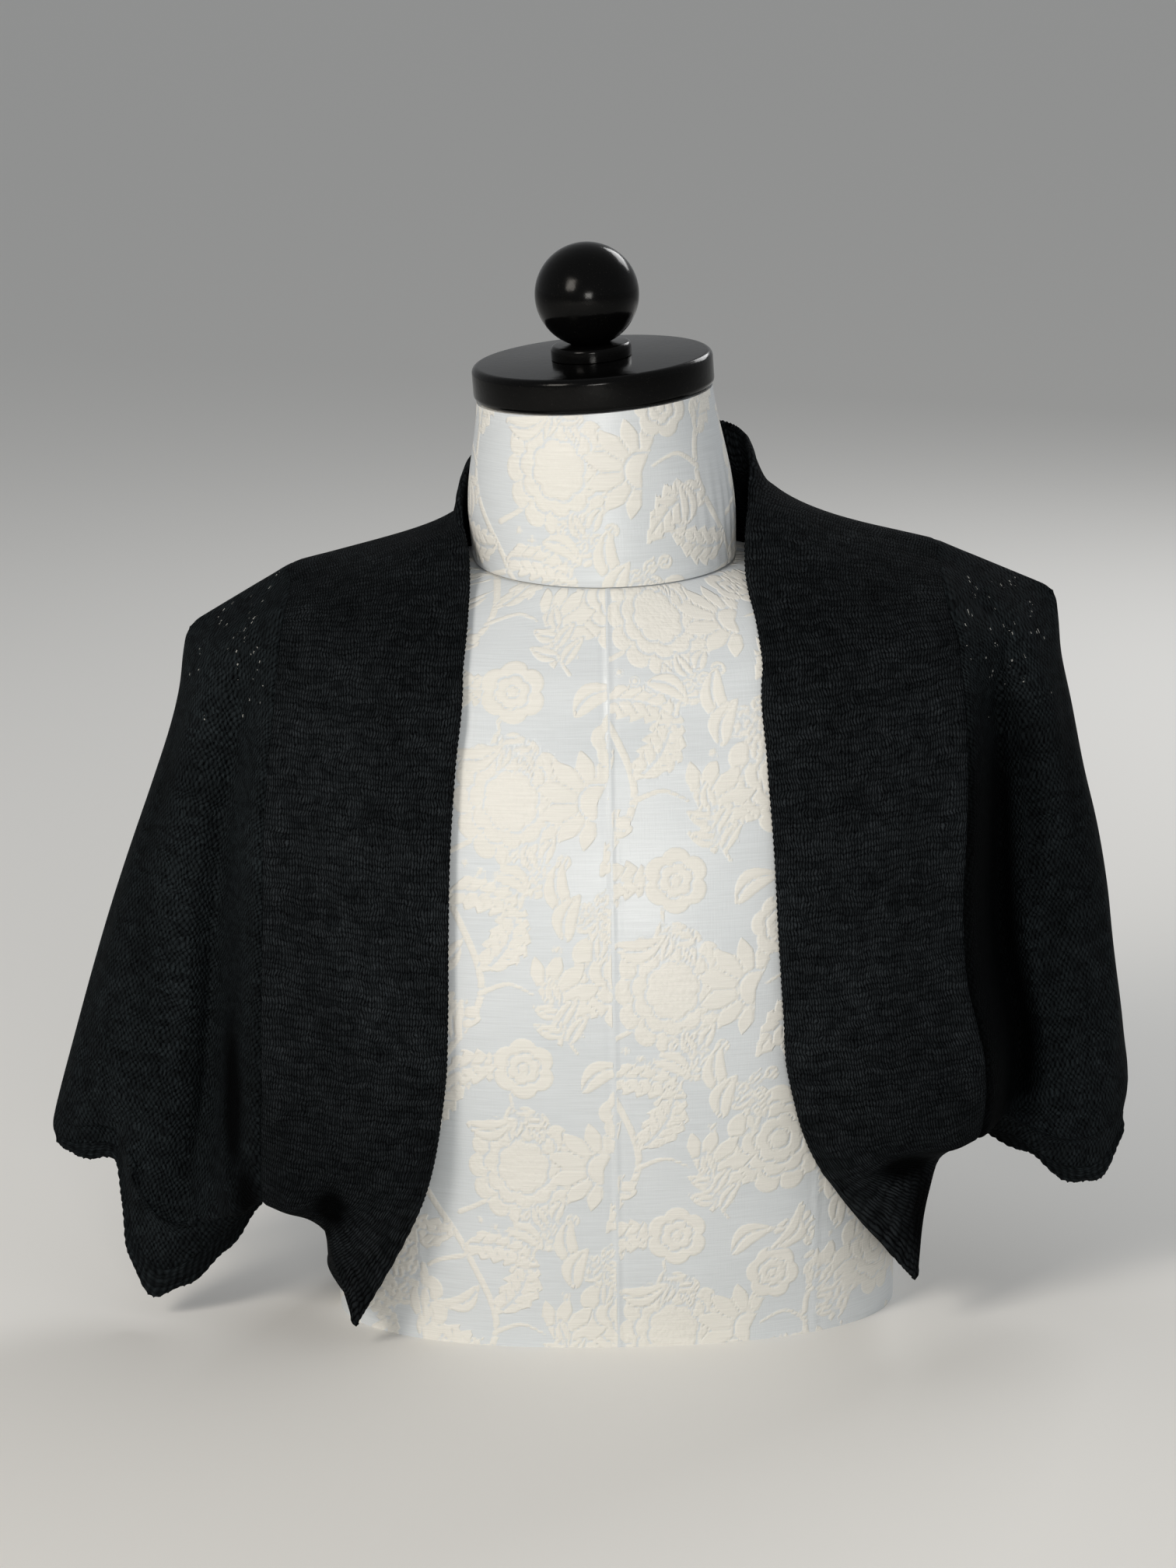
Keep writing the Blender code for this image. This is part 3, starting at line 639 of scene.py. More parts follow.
# %% [markdown]
# ## Black yarn
#
# The yarn is a soft matt viscose and wool mix, dyed black, spun with slubs: it swells and
# thins every centimetre or so. Dyed yarn sends back one or two hundredths of the light,
# and most of what the eye reads as stitches is the deeper black between the loops. A faint
# sheen stands for the fibres that catch light at a grazing angle.
#
# Three stitches are needed. Plain knit shows columns of V shapes. Purl, its other side,
# shows rows of small beads, each row half a stitch over. Rib is columns that stand out
# with columns that sink between them. Each is a height from 0 to 1 worked out from the UV
# map, and the same yarn finish is put on all three.

# %% Where the stitches are
def stitch_places(add, wale, course):
    """The UV map, and stitch counts across and along the cloth, a little out of true.

    wale and course are the width and height of a stitch in millimetres.
    """
    uv = add("UVMap", uv_map="cloth")
    wobble = add("TexNoise", {"Vector": uv, "Scale": 75.0, "Detail": 4.0, "Roughness": 0.6},
                 "Color")
    wobble = add("VectorMath SUBTRACT", [wobble, (0.5, 0.5, 0.5)])
    counts = add("VectorMath MULTIPLY", [uv, (1 / (wale * MM), 1 / (course * MM), 0.0)])
    drawn = add("VectorMath MULTIPLY_ADD", [wobble, (2.3, 3.0, 0.0), counts])
    across = add("SeparateXYZ", [drawn])
    return uv, counts, across, across.node.outputs["Y"]


# %% Heights of the three stitches, and which row of yarn each point is in
LEG_SLANT = 0.3


def humps(add, count, shift=0.0):
    """A row of round humps, one for each whole count, as the strands of a yarn lie."""
    turn = add("Math MULTIPLY_ADD", [count, math.pi, shift])
    return add("Math ABSOLUTE", [add("Math SINE", [turn])])


def plain_height(add, s, t):
    """Columns of V shapes: two legs to a column, each a row of slanting strands."""
    side = add("Math PINGPONG", [s, 0.5])
    phase = add("Math MULTIPLY_ADD", [side, -2 * LEG_SLANT, t])
    strand = add("Math MULTIPLY_ADD", [humps(add, phase), 0.72, 0.28])
    turn = add("Math MULTIPLY", [side, 2 * math.pi])
    leg = add("Math SINE", [turn])
    both = add("Math MULTIPLY", [strand, leg])
    return (add("Math POWER", [both, 0.7]), add("Math FLOOR", [phase]))


def purl_height(add, s, t):
    """Rows of beads, each row half a stitch over from the last."""
    rows = []
    for shift in (0.0, 0.5 * math.pi):
        beads = [humps(add, place, shift) for place in (s, t)]
        rows.append(add("Math MULTIPLY", beads))
    half_rows = add("Math MULTIPLY", [t, 2.0])
    return (add("Math MAXIMUM", rows), add("Math ROUND", [half_rows]))


def rib_height(add, s, t):
    """Ribs one stitch wide with a sunken stitch between them, strands across each."""
    turn = add("Math MULTIPLY", [s, 2 * math.pi])
    wave = add("Math COSINE", [turn])
    wave = add("Math MULTIPLY_ADD", [wave, 0.26, 0.74])
    strand = add("Math MULTIPLY_ADD", [humps(add, t), 0.45, 0.55])
    return (add("Math MULTIPLY", [wave, strand]), add("Math FLOOR", [t]))


# %% Finish of the yarn
GAP_BLACK = "#020203"
THIN_BLACK = "#15181a"
SLUB_BLACK = "#2c3033"
SHADE_BLACK = "#2a3033"


def finish_yarn(add, shader, uv, s, height, course, light, strength):
    """Colour, roughness, sheen and bump of the yarn from a height of stitches.

    light is the colour of the thick parts of the yarn. Where the knit is tight the gaps
    close, so their darkness comes and goes over a few stitches.
    """
    along = add("Math MULTIPLY", [s, 0.24])
    apart = add("Math MULTIPLY", [course, 3.17])
    along_row = add("CombineXYZ", [along, apart])
    slub = add("TexNoise", {"Vector": along_row, "Scale": 1.0, "Detail": 2.0},
               noise_dimensions="2D")
    slub = add("MapRange", {"Value": slub, "From Min": 0.34, "From Max": 0.66})
    legs = add("Math MULTIPLY", [s, 2.0])
    legs = add("Math FLOOR", [legs])
    cell = add("CombineXYZ", [legs, course])
    stitch = add("TexWhiteNoise", {"Vector": cell}, noise_dimensions="2D")
    slub = add("Math MULTIPLY", [slub, 0.62])
    slub = add("Math MULTIPLY_ADD", [stitch, 0.38, slub])
    yarn = add("Mix", {"Factor": slub, "A": colour(THIN_BLACK), "B": colour(light)}, "Result",
               data_type="RGBA")
    tight = add("TexNoise", {"Vector": uv, "Scale": 190.0, "Detail": 2.0})
    tight = add("MapRange", {"Value": tight, "From Min": 0.4, "From Max": 0.62, "To Max": 0.3})
    depth = add("MapRange", {"Value": height, "From Min": 0.22, "From Max": 0.9, "To Min": tight})
    tone = add("Mix", {"Factor": depth, "A": colour(GAP_BLACK), "B": yarn}, "Result",
               data_type="RGBA")
    # Painted shade: the attribute read here darkens the yarn in creases, hollows and dents, and
    # at the band's top and bottom.
    painted_shade = add("Attribute", output="Fac", attribute_name="painted_shade")
    wash = add("TexNoise", {"Vector": uv, "Scale": 22.0, "Detail": 3.0})
    wash = add("MapRange", {"Value": wash, "From Min": 0.3, "From Max": 0.7,
                            "To Min": 0.75 * strength, "To Max": 1.2 * strength})
    lit = add("Math MULTIPLY_ADD", [painted_shade, -0.97, 1.0])
    lit = add("Math MULTIPLY", [wash, lit])
    tone = add("VectorMath SCALE", {0: tone, "Scale": lit})
    fibre = add("TexNoise", {"Vector": uv, "Scale": 2600.0, "Detail": 2.0})
    swell = add("Math MULTIPLY_ADD", [slub, 0.6, 0.7])
    lift = add("Math MULTIPLY", [height, swell])
    lift = add("Math MULTIPLY_ADD", [fibre, 0.14, lift])
    bump = add("Bump", {"Strength": 1.0, "Distance": 0.0010, "Height": lift})
    fill(shader, {"Base Color": tone, "Normal": bump, "Roughness": 0.8,
                  "Specular IOR Level": 0.02, "Sheen Weight": 0.01, "Sheen Roughness": 0.45,
                  "Sheen Tint": colour("#8494a0")})
    return tone


# %% The three knits
WALE = 2.5
RIB = 4.2
KNITS = {}
# The rib and purl copies take a lower strength, which darkens them: partly the darker look of
# those stitches, partly painted shade on the sleeves and cuffs.
for slot, name, height_of, wale, course, light, strength in [
        ("plain_knit", "black slub yarn, plain knit", plain_height, WALE, 3.1, SLUB_BLACK, 1.0),
        ("rib_knit", "black slub yarn, one by one rib", rib_height, RIB, 3.0, SHADE_BLACK, 0.62),
        ("purl_knit", "black slub yarn, purl side", purl_height, WALE, 4.2, SHADE_BLACK, 0.72)]:
    KNITS[slot], add, shader = new_material(name, light)
    uv, counts, s, t = stitch_places(add, wale, course)
    height, row = height_of(add, s, t)
    tone = finish_yarn(add, shader, uv, s, height, row, light, strength)

# %% Pinholes in the purl side, the last of the three
# Where the knit is stretched over the tip of the shoulder, a few gaps open and the pale
# cover shows through as pinholes. The "stretch" attribute says where.
stretch = add("Attribute", output="Fac", attribute_name="stretch")
gap = add("VectorMath SCALE", {0: counts, "Scale": 2.0})
gap = add("VectorMath FLOOR", [gap])
chance = add("TexWhiteNoise", {"Vector": gap}, noise_dimensions="2D")
chosen = add("Math LESS_THAN", [chance, stretch])
open_gap = add("Math LESS_THAN", [height, 0.4])
hole = add("Math MULTIPLY", [chosen, open_gap])
tone = add("Mix", {"Factor": hole, "A": tone, "B": colour("#9a9a96")}, "Result", data_type="RGBA")
fill(shader, {"Base Color": tone})
print("knits", list(KNITS))


# %% [markdown]
# ## The band
#
# The band is one strip about 88 mm wide, knitted lengthwise and sewn round the opening:
# down both fronts, round the neck and across the lower back. Its inner edge is sewn to the
# garment, and its other edge is the free edge of the front. The columns of stitches run
# along the strip, so the UV map counts across the strip from the free edge and along it.

# %% Band pieces
BAND_WIDTH = 88.0


def near(points, spot, reach):
    """How near points are: 1 at a spot, falling to 0 past its reach across, out and up."""
    distance = np.linalg.norm((points - np.array(spot)) / np.array(reach), axis=2)
    return np.exp(-distance ** 2)


def dented(points, painted_shade, dents):
    """Points pushed at some spots: each has its place, reach, push and how dark its painted shade
    is.
    """
    pushed = points.copy()
    for spot, reach, shift, dark in dents:
        weight = near(points, spot, reach)
        pushed += weight[..., None] * np.array(shift)
        painted_shade = np.maximum(painted_shade, np.clip(1.4 * dark * weight, 0, 1))
    return pushed, painted_shade


def blunt(points, spot):
    """Round off a hanging point, by drawing each row near it to its neighbours."""
    soft = 0.25 * near(points, spot, (16, 30, 16))[1:-1, :, None]
    for step in range(70):
        points[1:-1] += soft * (points[:-2] - 2 * points[1:-1] + points[2:])


def band_piece(name, node, start, end, creases, point=None, dents=()):
    """A stretch of the band; a crease gives its ends as share across and row of the ring.

    point is the place of a hanging point, which is made blunt.
    """
    coarse = net(12, round(abs(end - start)) * 5, lambda u, v: band_point(mix(start, end, v), u))
    middle = lengths(coarse, 0)[:, 6]
    long = float(middle[-1])
    evenly = np.linspace(0, 1, len(middle))
    along = np.interp(crowded(long, 0.9, 0.9) * long, middle, evenly)
    across = crowded(BAND_WIDTH, 0.8, 4.2)
    points = fine_grid(coarse, along, across)
    cloth = np.stack(np.meshgrid(across * BAND_WIDTH, np.interp(along, evenly, middle)), axis=-1)
    placed = []
    for share0, row0, share1, row1, width, height in creases:
        down0, down1 = np.interp([(row - start) / (end - start) for row in (row0, row1)],
                                 evenly, middle)
        placed.append((share0 * BAND_WIDTH, down0, share1 * BAND_WIDTH, down1, width, height))
    # Troughs of the creases get painted shade.
    points, painted_shade = creased(points, HEART, cloth, placed)
    if point:
        blunt(points, point)
    # Painted shade: the band is darkened below the bust and near its top, as it is lit best at
    # the height of the bust
    painted_shade = np.maximum(painted_shade, 0.34 * np.clip((170 - points[..., 2]) / 90, 0, 1))
    painted_shade = np.maximum(painted_shade, 0.22 * np.clip((points[..., 2] - 270) / 70, 0, 1))
    points, painted_shade = dented(points, painted_shade, dents)
    piece = sheet_of_knit(name, node, points, cloth, {"left": "free", "right": "sewn"}, HEART,
                          "plain_knit", {"painted_shade": painted_shade})


# Low down each front bulges over its sewn corner, with a hollow beside the bulge, and the
# hollow is darkened with painted shade. The pieces that are sewn on there take the same dents,
# so the seams stay closed. Each front's point is blunt.
RIGHT_DENTS = [((-155, 90, 82), (14, 30, 13), (-1.0, 6.0, -4.0), 0.0),
               ((-137, 97, 75), (9, 30, 13), (2.0, -7.0, 1.0), 1.0),
               ((-141, 86, 60), (5, 30, 9), (2.5, -2.0, 0.0), 0.6)]
LEFT_DENTS = [((161, 89, 106), (15, 30, 12), (1.0, 6.5, -3.5), 0.0),
              ((140, 95, 89), (15, 40, 8), (-1.5, -7.0, 1.5), 1.0),
              ((149, 84, 64), (10, 40, 30), (-2.0, -2.0, 0.0), 0.85)]
band_piece("band_front_right", "front_band_right", 0, RIGHT_END, [
    (0.30, 1.5, 0.42, 5.2, 9, 0.9), (0.72, 3.0, 0.64, 8.2, 10, -0.9),
    (0.92, 6.0, 0.90, 9.0, 6, 1.4)], (-126, 80, 12), RIGHT_DENTS)
band_piece("band_front_left", "front_band_left", LEFT_TOP, LEFT_END, [
    (0.32, LEFT_TOP - 2.0, 0.40, LEFT_TOP - 6.5, 10, 0.8),
    (0.66, LEFT_TOP - 2.4, 0.74, LEFT_TOP - 7.0, 9, -0.9),
    (0.90, LEFT_TOP - 6.5, 0.94, LEFT_TOP - 8.8, 6, 1.6)], (144, 74, 28), LEFT_DENTS)
band_piece("band_lower_back", "lower_back_band", RIGHT_END, LEFT_END, [
    (0.14, RIGHT_END + 1.5, 0.80, RIGHT_END + 1.7, 9, 0.8),
    (0.17, RIGHT_END + 4.2, 0.75, RIGHT_END + 4.0, 9, -0.7)],
    None, RIGHT_DENTS + LEFT_DENTS)
band_piece("band_collar", "collar", LEFT_TOP, len(RING), [
    (0.34, LEFT_TOP + 1.2, 0.68, LEFT_TOP + 1.7, 9, -0.8),
    (0.32, LEFT_TOP + 3.1, 0.70, LEFT_TOP + 2.6, 8, -0.8)])


# %% [markdown]
# ## The sleeves
#
# Each sleeve is cut in one with the narrow front beside the band, so no seam crosses the
# shoulder. The knit hangs in a tube, flattened front to back, with a deep hollow beside
# the band. The purl side is out, and its columns run along the outer fold, so at the band
# they meet the seam on a slant. To find a point's place on the flat cloth, the way from
# the outer fold to the point is split into a part across and a part along that fold.

# %% Sleeve helpers
def share_round(u):
    """From the front inner edge, round the outer fold, to the back inner edge."""
    front = u <= 0.5
    share = 2 * u if front else 2 - 2 * u
    return math.sin(share * math.pi / 2) ** 1.2 * 0.35 + share * 0.65, front


def sleeve_cloth(points, fold_column):
    """Place of each point on the flat cloth, measured from the outer fold."""
    fold = points[:, fold_column]
    ridge = np.gradient(fold, axis=0)
    ridge /= np.linalg.norm(ridge, axis=1, keepdims=True)
    down = np.concatenate([[0.0], np.cumsum(np.linalg.norm(np.diff(fold, axis=0), axis=1))])
    steps = np.diff(points, axis=1)
    along = np.einsum("rcx,rx->rc", steps, ridge)
    aside = np.sqrt(np.maximum(np.sum(steps ** 2, axis=2) - along ** 2, 0.0))
    start = np.zeros((len(points), 1))
    along = np.concatenate([start, np.cumsum(along, axis=1)], axis=1)
    aside = np.concatenate([start, np.cumsum(aside, axis=1)], axis=1)
    along -= along[:, [fold_column]]
    aside -= aside[:, [fold_column]]
    return np.stack([aside, down[:, None] + along], axis=-1)


def sleeve_pieces(side, word, creases, stretch_spot, gap, dents):
    """A sleeve down to the cuff, and its cuff; gap is how dark the painted shade is in the hollow
    by the band.
    """
    def whole(u, v):
        share, front = share_round(u)
        return sleeve_point(side, v * (SLEEVE_LAST + 1), share, front)

    centre = (215.0 * side, 0.0, 200.0)
    coarse = net(36, 4 * (SLEEVE_LAST + 1), whole)
    base = fine_grid(coarse, 180, 161)
    fold = base.shape[1] // 2
    cloth = sleeve_cloth(base, fold)
    # The tip of the shoulder and the hem's outer corner are soft, not sharp
    tip, corner = base[0, fold].copy(), base[-1, fold].copy()
    base += near(base, tip, (4, 9, 4))[..., None] * np.array((-1.2 * side, 0.0, -0.8))
    base += near(base, corner, (5, 9, 6))[..., None] * np.array((-3.0 * side, 0.0, 2.0))
    # Troughs of the creases and the dark dents get painted shade.
    base, painted_shade = creased(base, centre, cloth, creases)
    base, painted_shade = dented(base, painted_shade, dents)
    # Painted shade: the hollow between the band and the crest of the front, and a strip beside
    # the band lower down, are darkened by gap.
    front = base[:, :fold, 1]
    inner = int(0.12 * base.shape[1])
    crest = inner + front[:, inner:].argmax(axis=1)
    top = front[:, inner:].max(axis=1)
    hollow = np.clip((top[:, None] - base[..., 1]) / 9.0, 0, 1)
    hollow *= np.arange(base.shape[1]) <= crest[:, None]
    hollow = np.maximum.accumulate(hollow[:, ::-1], axis=1)[:, ::-1]
    share_down = np.linspace(0, 1, len(base))[:, None]
    painted_shade = np.maximum(painted_shade, gap * hollow * np.clip((share_down - 0.12) / 0.2, 0, 1))
    beside_band = np.clip(1.6 - np.linspace(0, 1, base.shape[1]) / 0.12, 0, 1)
    painted_shade = np.maximum(painted_shade, gap * beside_band * np.clip((share_down - 0.35) / 0.3, 0, 1))
    full = np.concatenate([base, cloth, painted_shade[..., None]], axis=2)

    half = 0.5 * crowded(125.0, 1.0, 1.35)
    across = np.unique(np.concatenate([half, 1 - half]))
    cut = CUFF_START / (SLEEVE_LAST + 1)
    grid = fine_grid(full, np.linspace(0, cut, 152), across)
    points, cloth, painted_shade = grid[..., :3], grid[..., 3:5], grid[..., 5]
    stretch = 0.08 * near(points, stretch_spot, (26, 40, 24))
    sleeve = sheet_of_knit(f"sleeve_{word}_knit", f"sleeve_{word}", points, cloth,
                           {"left": "sewn", "right": "sewn"}, centre, "purl_knit",
                           {"stretch": stretch, "painted_shade": painted_shade})

    hem = refined(full, [1.0], 0)[0, :, :3]
    long = float(np.linalg.norm(np.diff(hem, axis=0), axis=1).sum())
    round_hem = crowded(long, 0.85, 0.85)
    cuff_rows = cut + (1 - cut) * crowded(CUFF_DEPTH, 0.8, 1.3, start=False)
    grid = fine_grid(full, cuff_rows, round_hem)
    points, painted_shade = grid[..., :3], grid[..., 5]
    along = lengths(points[-1:], 1)[0]
    rise = (cuff_rows - cut) / (1 - cut)
    cloth = np.stack(np.meshgrid(along, rise * CUFF_DEPTH), axis=-1)
    # At the real fold of the hem, ribs and knobs would crowd into a spike
    calm = 1 - np.exp(-((along - np.interp(0.5, round_hem, along)) / 6.0) ** 2)
    points = raised(points, centre, 0.3 * np.cos(2 * np.pi * cloth[..., 0] / RIB) * calm)
    points[..., 2] += 1.3 * np.sin(2 * np.pi * along / 27.0) * (rise ** 1.5)[:, None]
    cuff = sheet_of_knit(f"cuff_{word}_rib", f"cuff_{word}", points, cloth, {"high": "free"},
                         centre, "rib_knit", {"painted_shade": painted_shade}, calm)


# %% Right and left sleeves
# Creases on the flat cloth: across and along at the start and the end, width, height.
# Across is negative on the front of a sleeve and positive on its back.
sleeve_pieces(-1, "right", [
    (-28, 20, -52, 190, 10, -1.4), (-62, 60, -76, 190, 9, 1.3), (-18, 130, -30, 262, 8, -1.0),
    (-88, 190, -106, 286, 9, 2.0), (-118, 196, -137, 270, 5, 2.0),
    (30, 60, 44, 240, 10, -1.4), (66, 80, 78, 230, 9, 1.2),
], (-176, 44, 342), 0.25, RIGHT_DENTS + [
    # The sunken fold that hangs beside the band, pushed in and given painted shade
    ((-184, 70, 122), (6, 45, 42), (0.0, -7.0, 0.0), 1.0),
    ((-177, 60, 78), (8, 45, 20), (0.0, -5.0, 0.0), 0.95)])
sleeve_pieces(1, "left", [
    (-28, 20, -46, 190, 9, -1.2), (-14, 150, -26, 255, 8, 1.0), (-64, 30, -50, 150, 8, -2.2),
    (34, 50, 40, 230, 10, -1.3), (70, 90, 76, 220, 9, 1.2),
], (196, 36, 346), 0.88, LEFT_DENTS)


# %% [markdown]
# ## The back
#
# The photo hides the back, so it is finished plainly: one panel inside the ring of the
# band, purl side out as on the sleeves, with a few long soft creases where a loose knit
# hangs from the shoulder blades.

# %% Back panel
coarse = net(36, 33, back_point)
wide = float(lengths(coarse, 1)[:, -1].mean())
tall = float(lengths(coarse, 0)[-1].max())
across = crowded(wide, 1.1, 3.0)
down = crowded(tall, 1.1, 3.0)
points = fine_grid(coarse, down, across)
middle = len(across) // 2
run = lengths(points, 1)
cloth = np.stack([run - run[:, [middle]], BACK_TOP - points[..., 2]], axis=-1)
# Troughs of the creases get painted shade.
points, painted_shade = creased(points, HEART, cloth, [
    (-95, 20, -70, 190, 12, 1.3), (90, 10, 72, 180, 12, 1.3),
    (-30, 60, -22, 200, 11, -1.2), (40, 70, 28, 205, 11, -1.2)])
back = sheet_of_knit("back_knit", "back", points, cloth,
                     dict.fromkeys(("left", "right", "low", "high"), "sewn"), HEART,
                     "purl_knit", {"stretch": np.zeros(points.shape[:2]), "painted_shade": painted_shade})


# %% [markdown]
# ## A damask of leaves and flowers
#
# Damask is woven in one pale yarn: the ground is a smooth satin that shines, and the
# motifs are woven the other way, so they are matt and a little raised. The pattern here is
# a common one of leaves, berries and round flowers on stems. It is drawn by rule: each
# motif is a distance from its outline, and a thin line of ground is kept between motifs
# that meet. The distance is stored at the vertices of the cover. A material that cuts a
# smooth distance at zero draws a sharp outline on a mesh of one-millimetre squares.

# %% Leaves and blooms as distances
def leaf(turn, long, wide, bend, teeth=0.0, pitch=6.0):
    """A leaf that grows along its turn, with a midrib, and side veins if it is wide."""
    def distance(u, v):
        angle = math.radians(turn)
        along = u * math.cos(angle) + v * math.sin(angle)
        aside = v * math.cos(angle) - u * math.sin(angle)
        share = np.clip(along / long, 0.0, 1.0)
        aside = aside - bend * np.sin(np.pi * share ** 0.9)
        width = 0.5 * wide * np.sin(np.pi * share ** 0.75) ** 0.8
        width *= 1 - teeth * np.mod(along / pitch + 0.3 * np.sign(aside), 1.0) ** 1.5
        past = np.maximum(np.maximum(-along, along - long), 0.0)
        shape = np.where(past > 0, np.hypot(np.maximum(np.abs(aside) - width, 0.0), past),
                         np.abs(aside) - width)
        midrib = 0.8 * (1 - share) + 0.15 - np.abs(aside)
        shape = np.where((share > 0.05) & (share < 0.88), np.maximum(shape, midrib), shape)
        if wide > 15:
            vein = np.abs(np.mod((along - 0.9 * np.abs(aside)) / pitch + 0.5, 1.0) - 0.5)
            inner = (np.abs(aside) < 0.72 * width) & (share > 0.12) & (share < 0.8)
            shape = np.where(inner, np.maximum(shape, 0.42 - vein * pitch), shape)
        return shape
    return distance, long + 4


def flower(turn, size, petals, rings, scallop=0.16, tall=1.0):
    """A round bloom of scalloped rings, with short lines between its outer petals."""
    def distance(u, v):
        angle = np.arctan2(v / tall, u) - math.radians(turn)
        radius = np.hypot(u, v / tall)
        lobe = np.abs(np.sin(0.5 * petals * angle))
        shape = radius - size * (1 - scallop + scallop * lobe ** 0.6)
        for ring, width, count in rings:
            inner = np.abs(np.sin(0.5 * count * angle + 0.7))
            edge = radius - size * ring * (1 - scallop + scallop * inner ** 0.6)
            shape = np.maximum(shape, width - np.abs(edge))
        if petals > 6:
            line = 0.38 - lobe * radius * 2 / petals
            outer = (radius > size * 0.74) & (radius < size * 0.98)
            shape = np.where(outer, np.maximum(shape, line), shape)
        return shape
    return distance, size * max(1.0, tall) + 4


def fan(turn, size, petals, spread, tooth):
    """A half-open bloom: pointed petals round a small cup."""
    def distance(u, v):
        angle = np.arctan2(v, u) - math.radians(turn)
        angle = np.mod(angle + np.pi, 2 * np.pi) - np.pi
        radius = np.hypot(u, v)
        half = math.radians(spread) / 2
        place = (angle + half) / (2 * half) * petals
        tip = 1 - tooth * np.abs(np.mod(place, 1.0) - 0.5) * 2
        shape = radius - size * tip * (0.86 + 0.14 * np.cos(angle * 1.2))
        shape = np.maximum(shape, (np.abs(angle) - half) * np.maximum(radius, 1.0))
        line = np.abs(np.mod(place + 0.5, 1.0) - 0.5) / petals * 2 * half * radius
        outer = (radius > size * 0.35) & (np.abs(angle) < half)
        shape = np.where(outer, np.maximum(shape, 0.4 - line), shape)
        return np.maximum(shape, 0.6 - np.abs(radius - size * 0.3))
    return distance, size + 4


# %% Stems, sprays and berries
def stem(spots, wide, thin=0.5):
    """A stem along a smooth curve through spots, thinner towards its end."""
    line = np.array([spline(spots, p) for p in np.linspace(0, len(spots) - 1, 26)])

    def distance(u, v):
        best = np.full(u.shape, 1e3)
        for index, (start, end) in enumerate(zip(line, line[1:])):
            along = end - start
            share = np.clip(((u - start[0]) * along[0] + (v - start[1]) * along[1])
                            / (along @ along), 0, 1)
            away = np.hypot(u - start[0] - share * along[0], v - start[1] - share * along[1])
            best = np.minimum(best, away - wide * (1 - thin * index / 25))
        return best
    return distance, float(np.hypot(line[:, 0], line[:, 1]).max()) + 5


def sprig(turn, long, leaves, size, bend):
    """A spray: small leaves in turn on both sides of a thin stalk."""
    heading = np.array((math.cos(math.radians(turn)), math.sin(math.radians(turn))))
    aside = np.array((-heading[1], heading[0]))
    parts = [((0.0, 0.0), stem([(0, 0), tuple(0.5 * long * heading + bend * aside),
                                tuple(long * heading)], 0.9)[0])]
    for index in range(leaves):
        share = 0.22 + 0.78 * index / (leaves - 1)
        spot = long * share * heading + bend * math.sin(math.pi * share) * aside
        lean = 0 if index == leaves - 1 else (52 if index % 2 else -52)
        parts.append((spot, leaf(turn + lean, size * (1.15 - 0.35 * share), size * 0.44, 1.2)[0]))

    def distance(u, v):
        best = np.full(u.shape, 1e3)
        for spot, part in parts:
            one = part(u - spot[0], v - spot[1])
            best = np.minimum(np.maximum(best, 0.5 - one), one)
        return best
    return distance, long + size + 4


def berries(turn, radius, count, size, sweep):
    """Berries on an arc, each with a small ring in it."""
    angles = [math.radians(turn + sweep * index) for index in range(count)]

    def distance(u, v):
        best = np.full(u.shape, 1e3)
        for index, angle in enumerate(angles):
            away = np.hypot(u - radius * math.cos(angle), v - radius * math.sin(angle))
            one = np.maximum(away - size * (1 - 0.06 * index), 0.45 - np.abs(away - size * 0.45))
            best = np.minimum(best, one)
        return best
    return distance, radius + size + 3


# %% One repeat of the pattern
REPEAT = (126.0, 180.0)
LINE_OF_GROUND = 0.9
RINGS = [(0.70, 0.65, 9), (0.46, 0.6, 7), (0.2, 0.6, 5)]
WIDE_RINGS = [(0.72, 0.65, 11), (0.48, 0.6, 8)]
SMALL_RINGS = [(0.55, 0.6, 6), (0.2, 0.45, 5)]
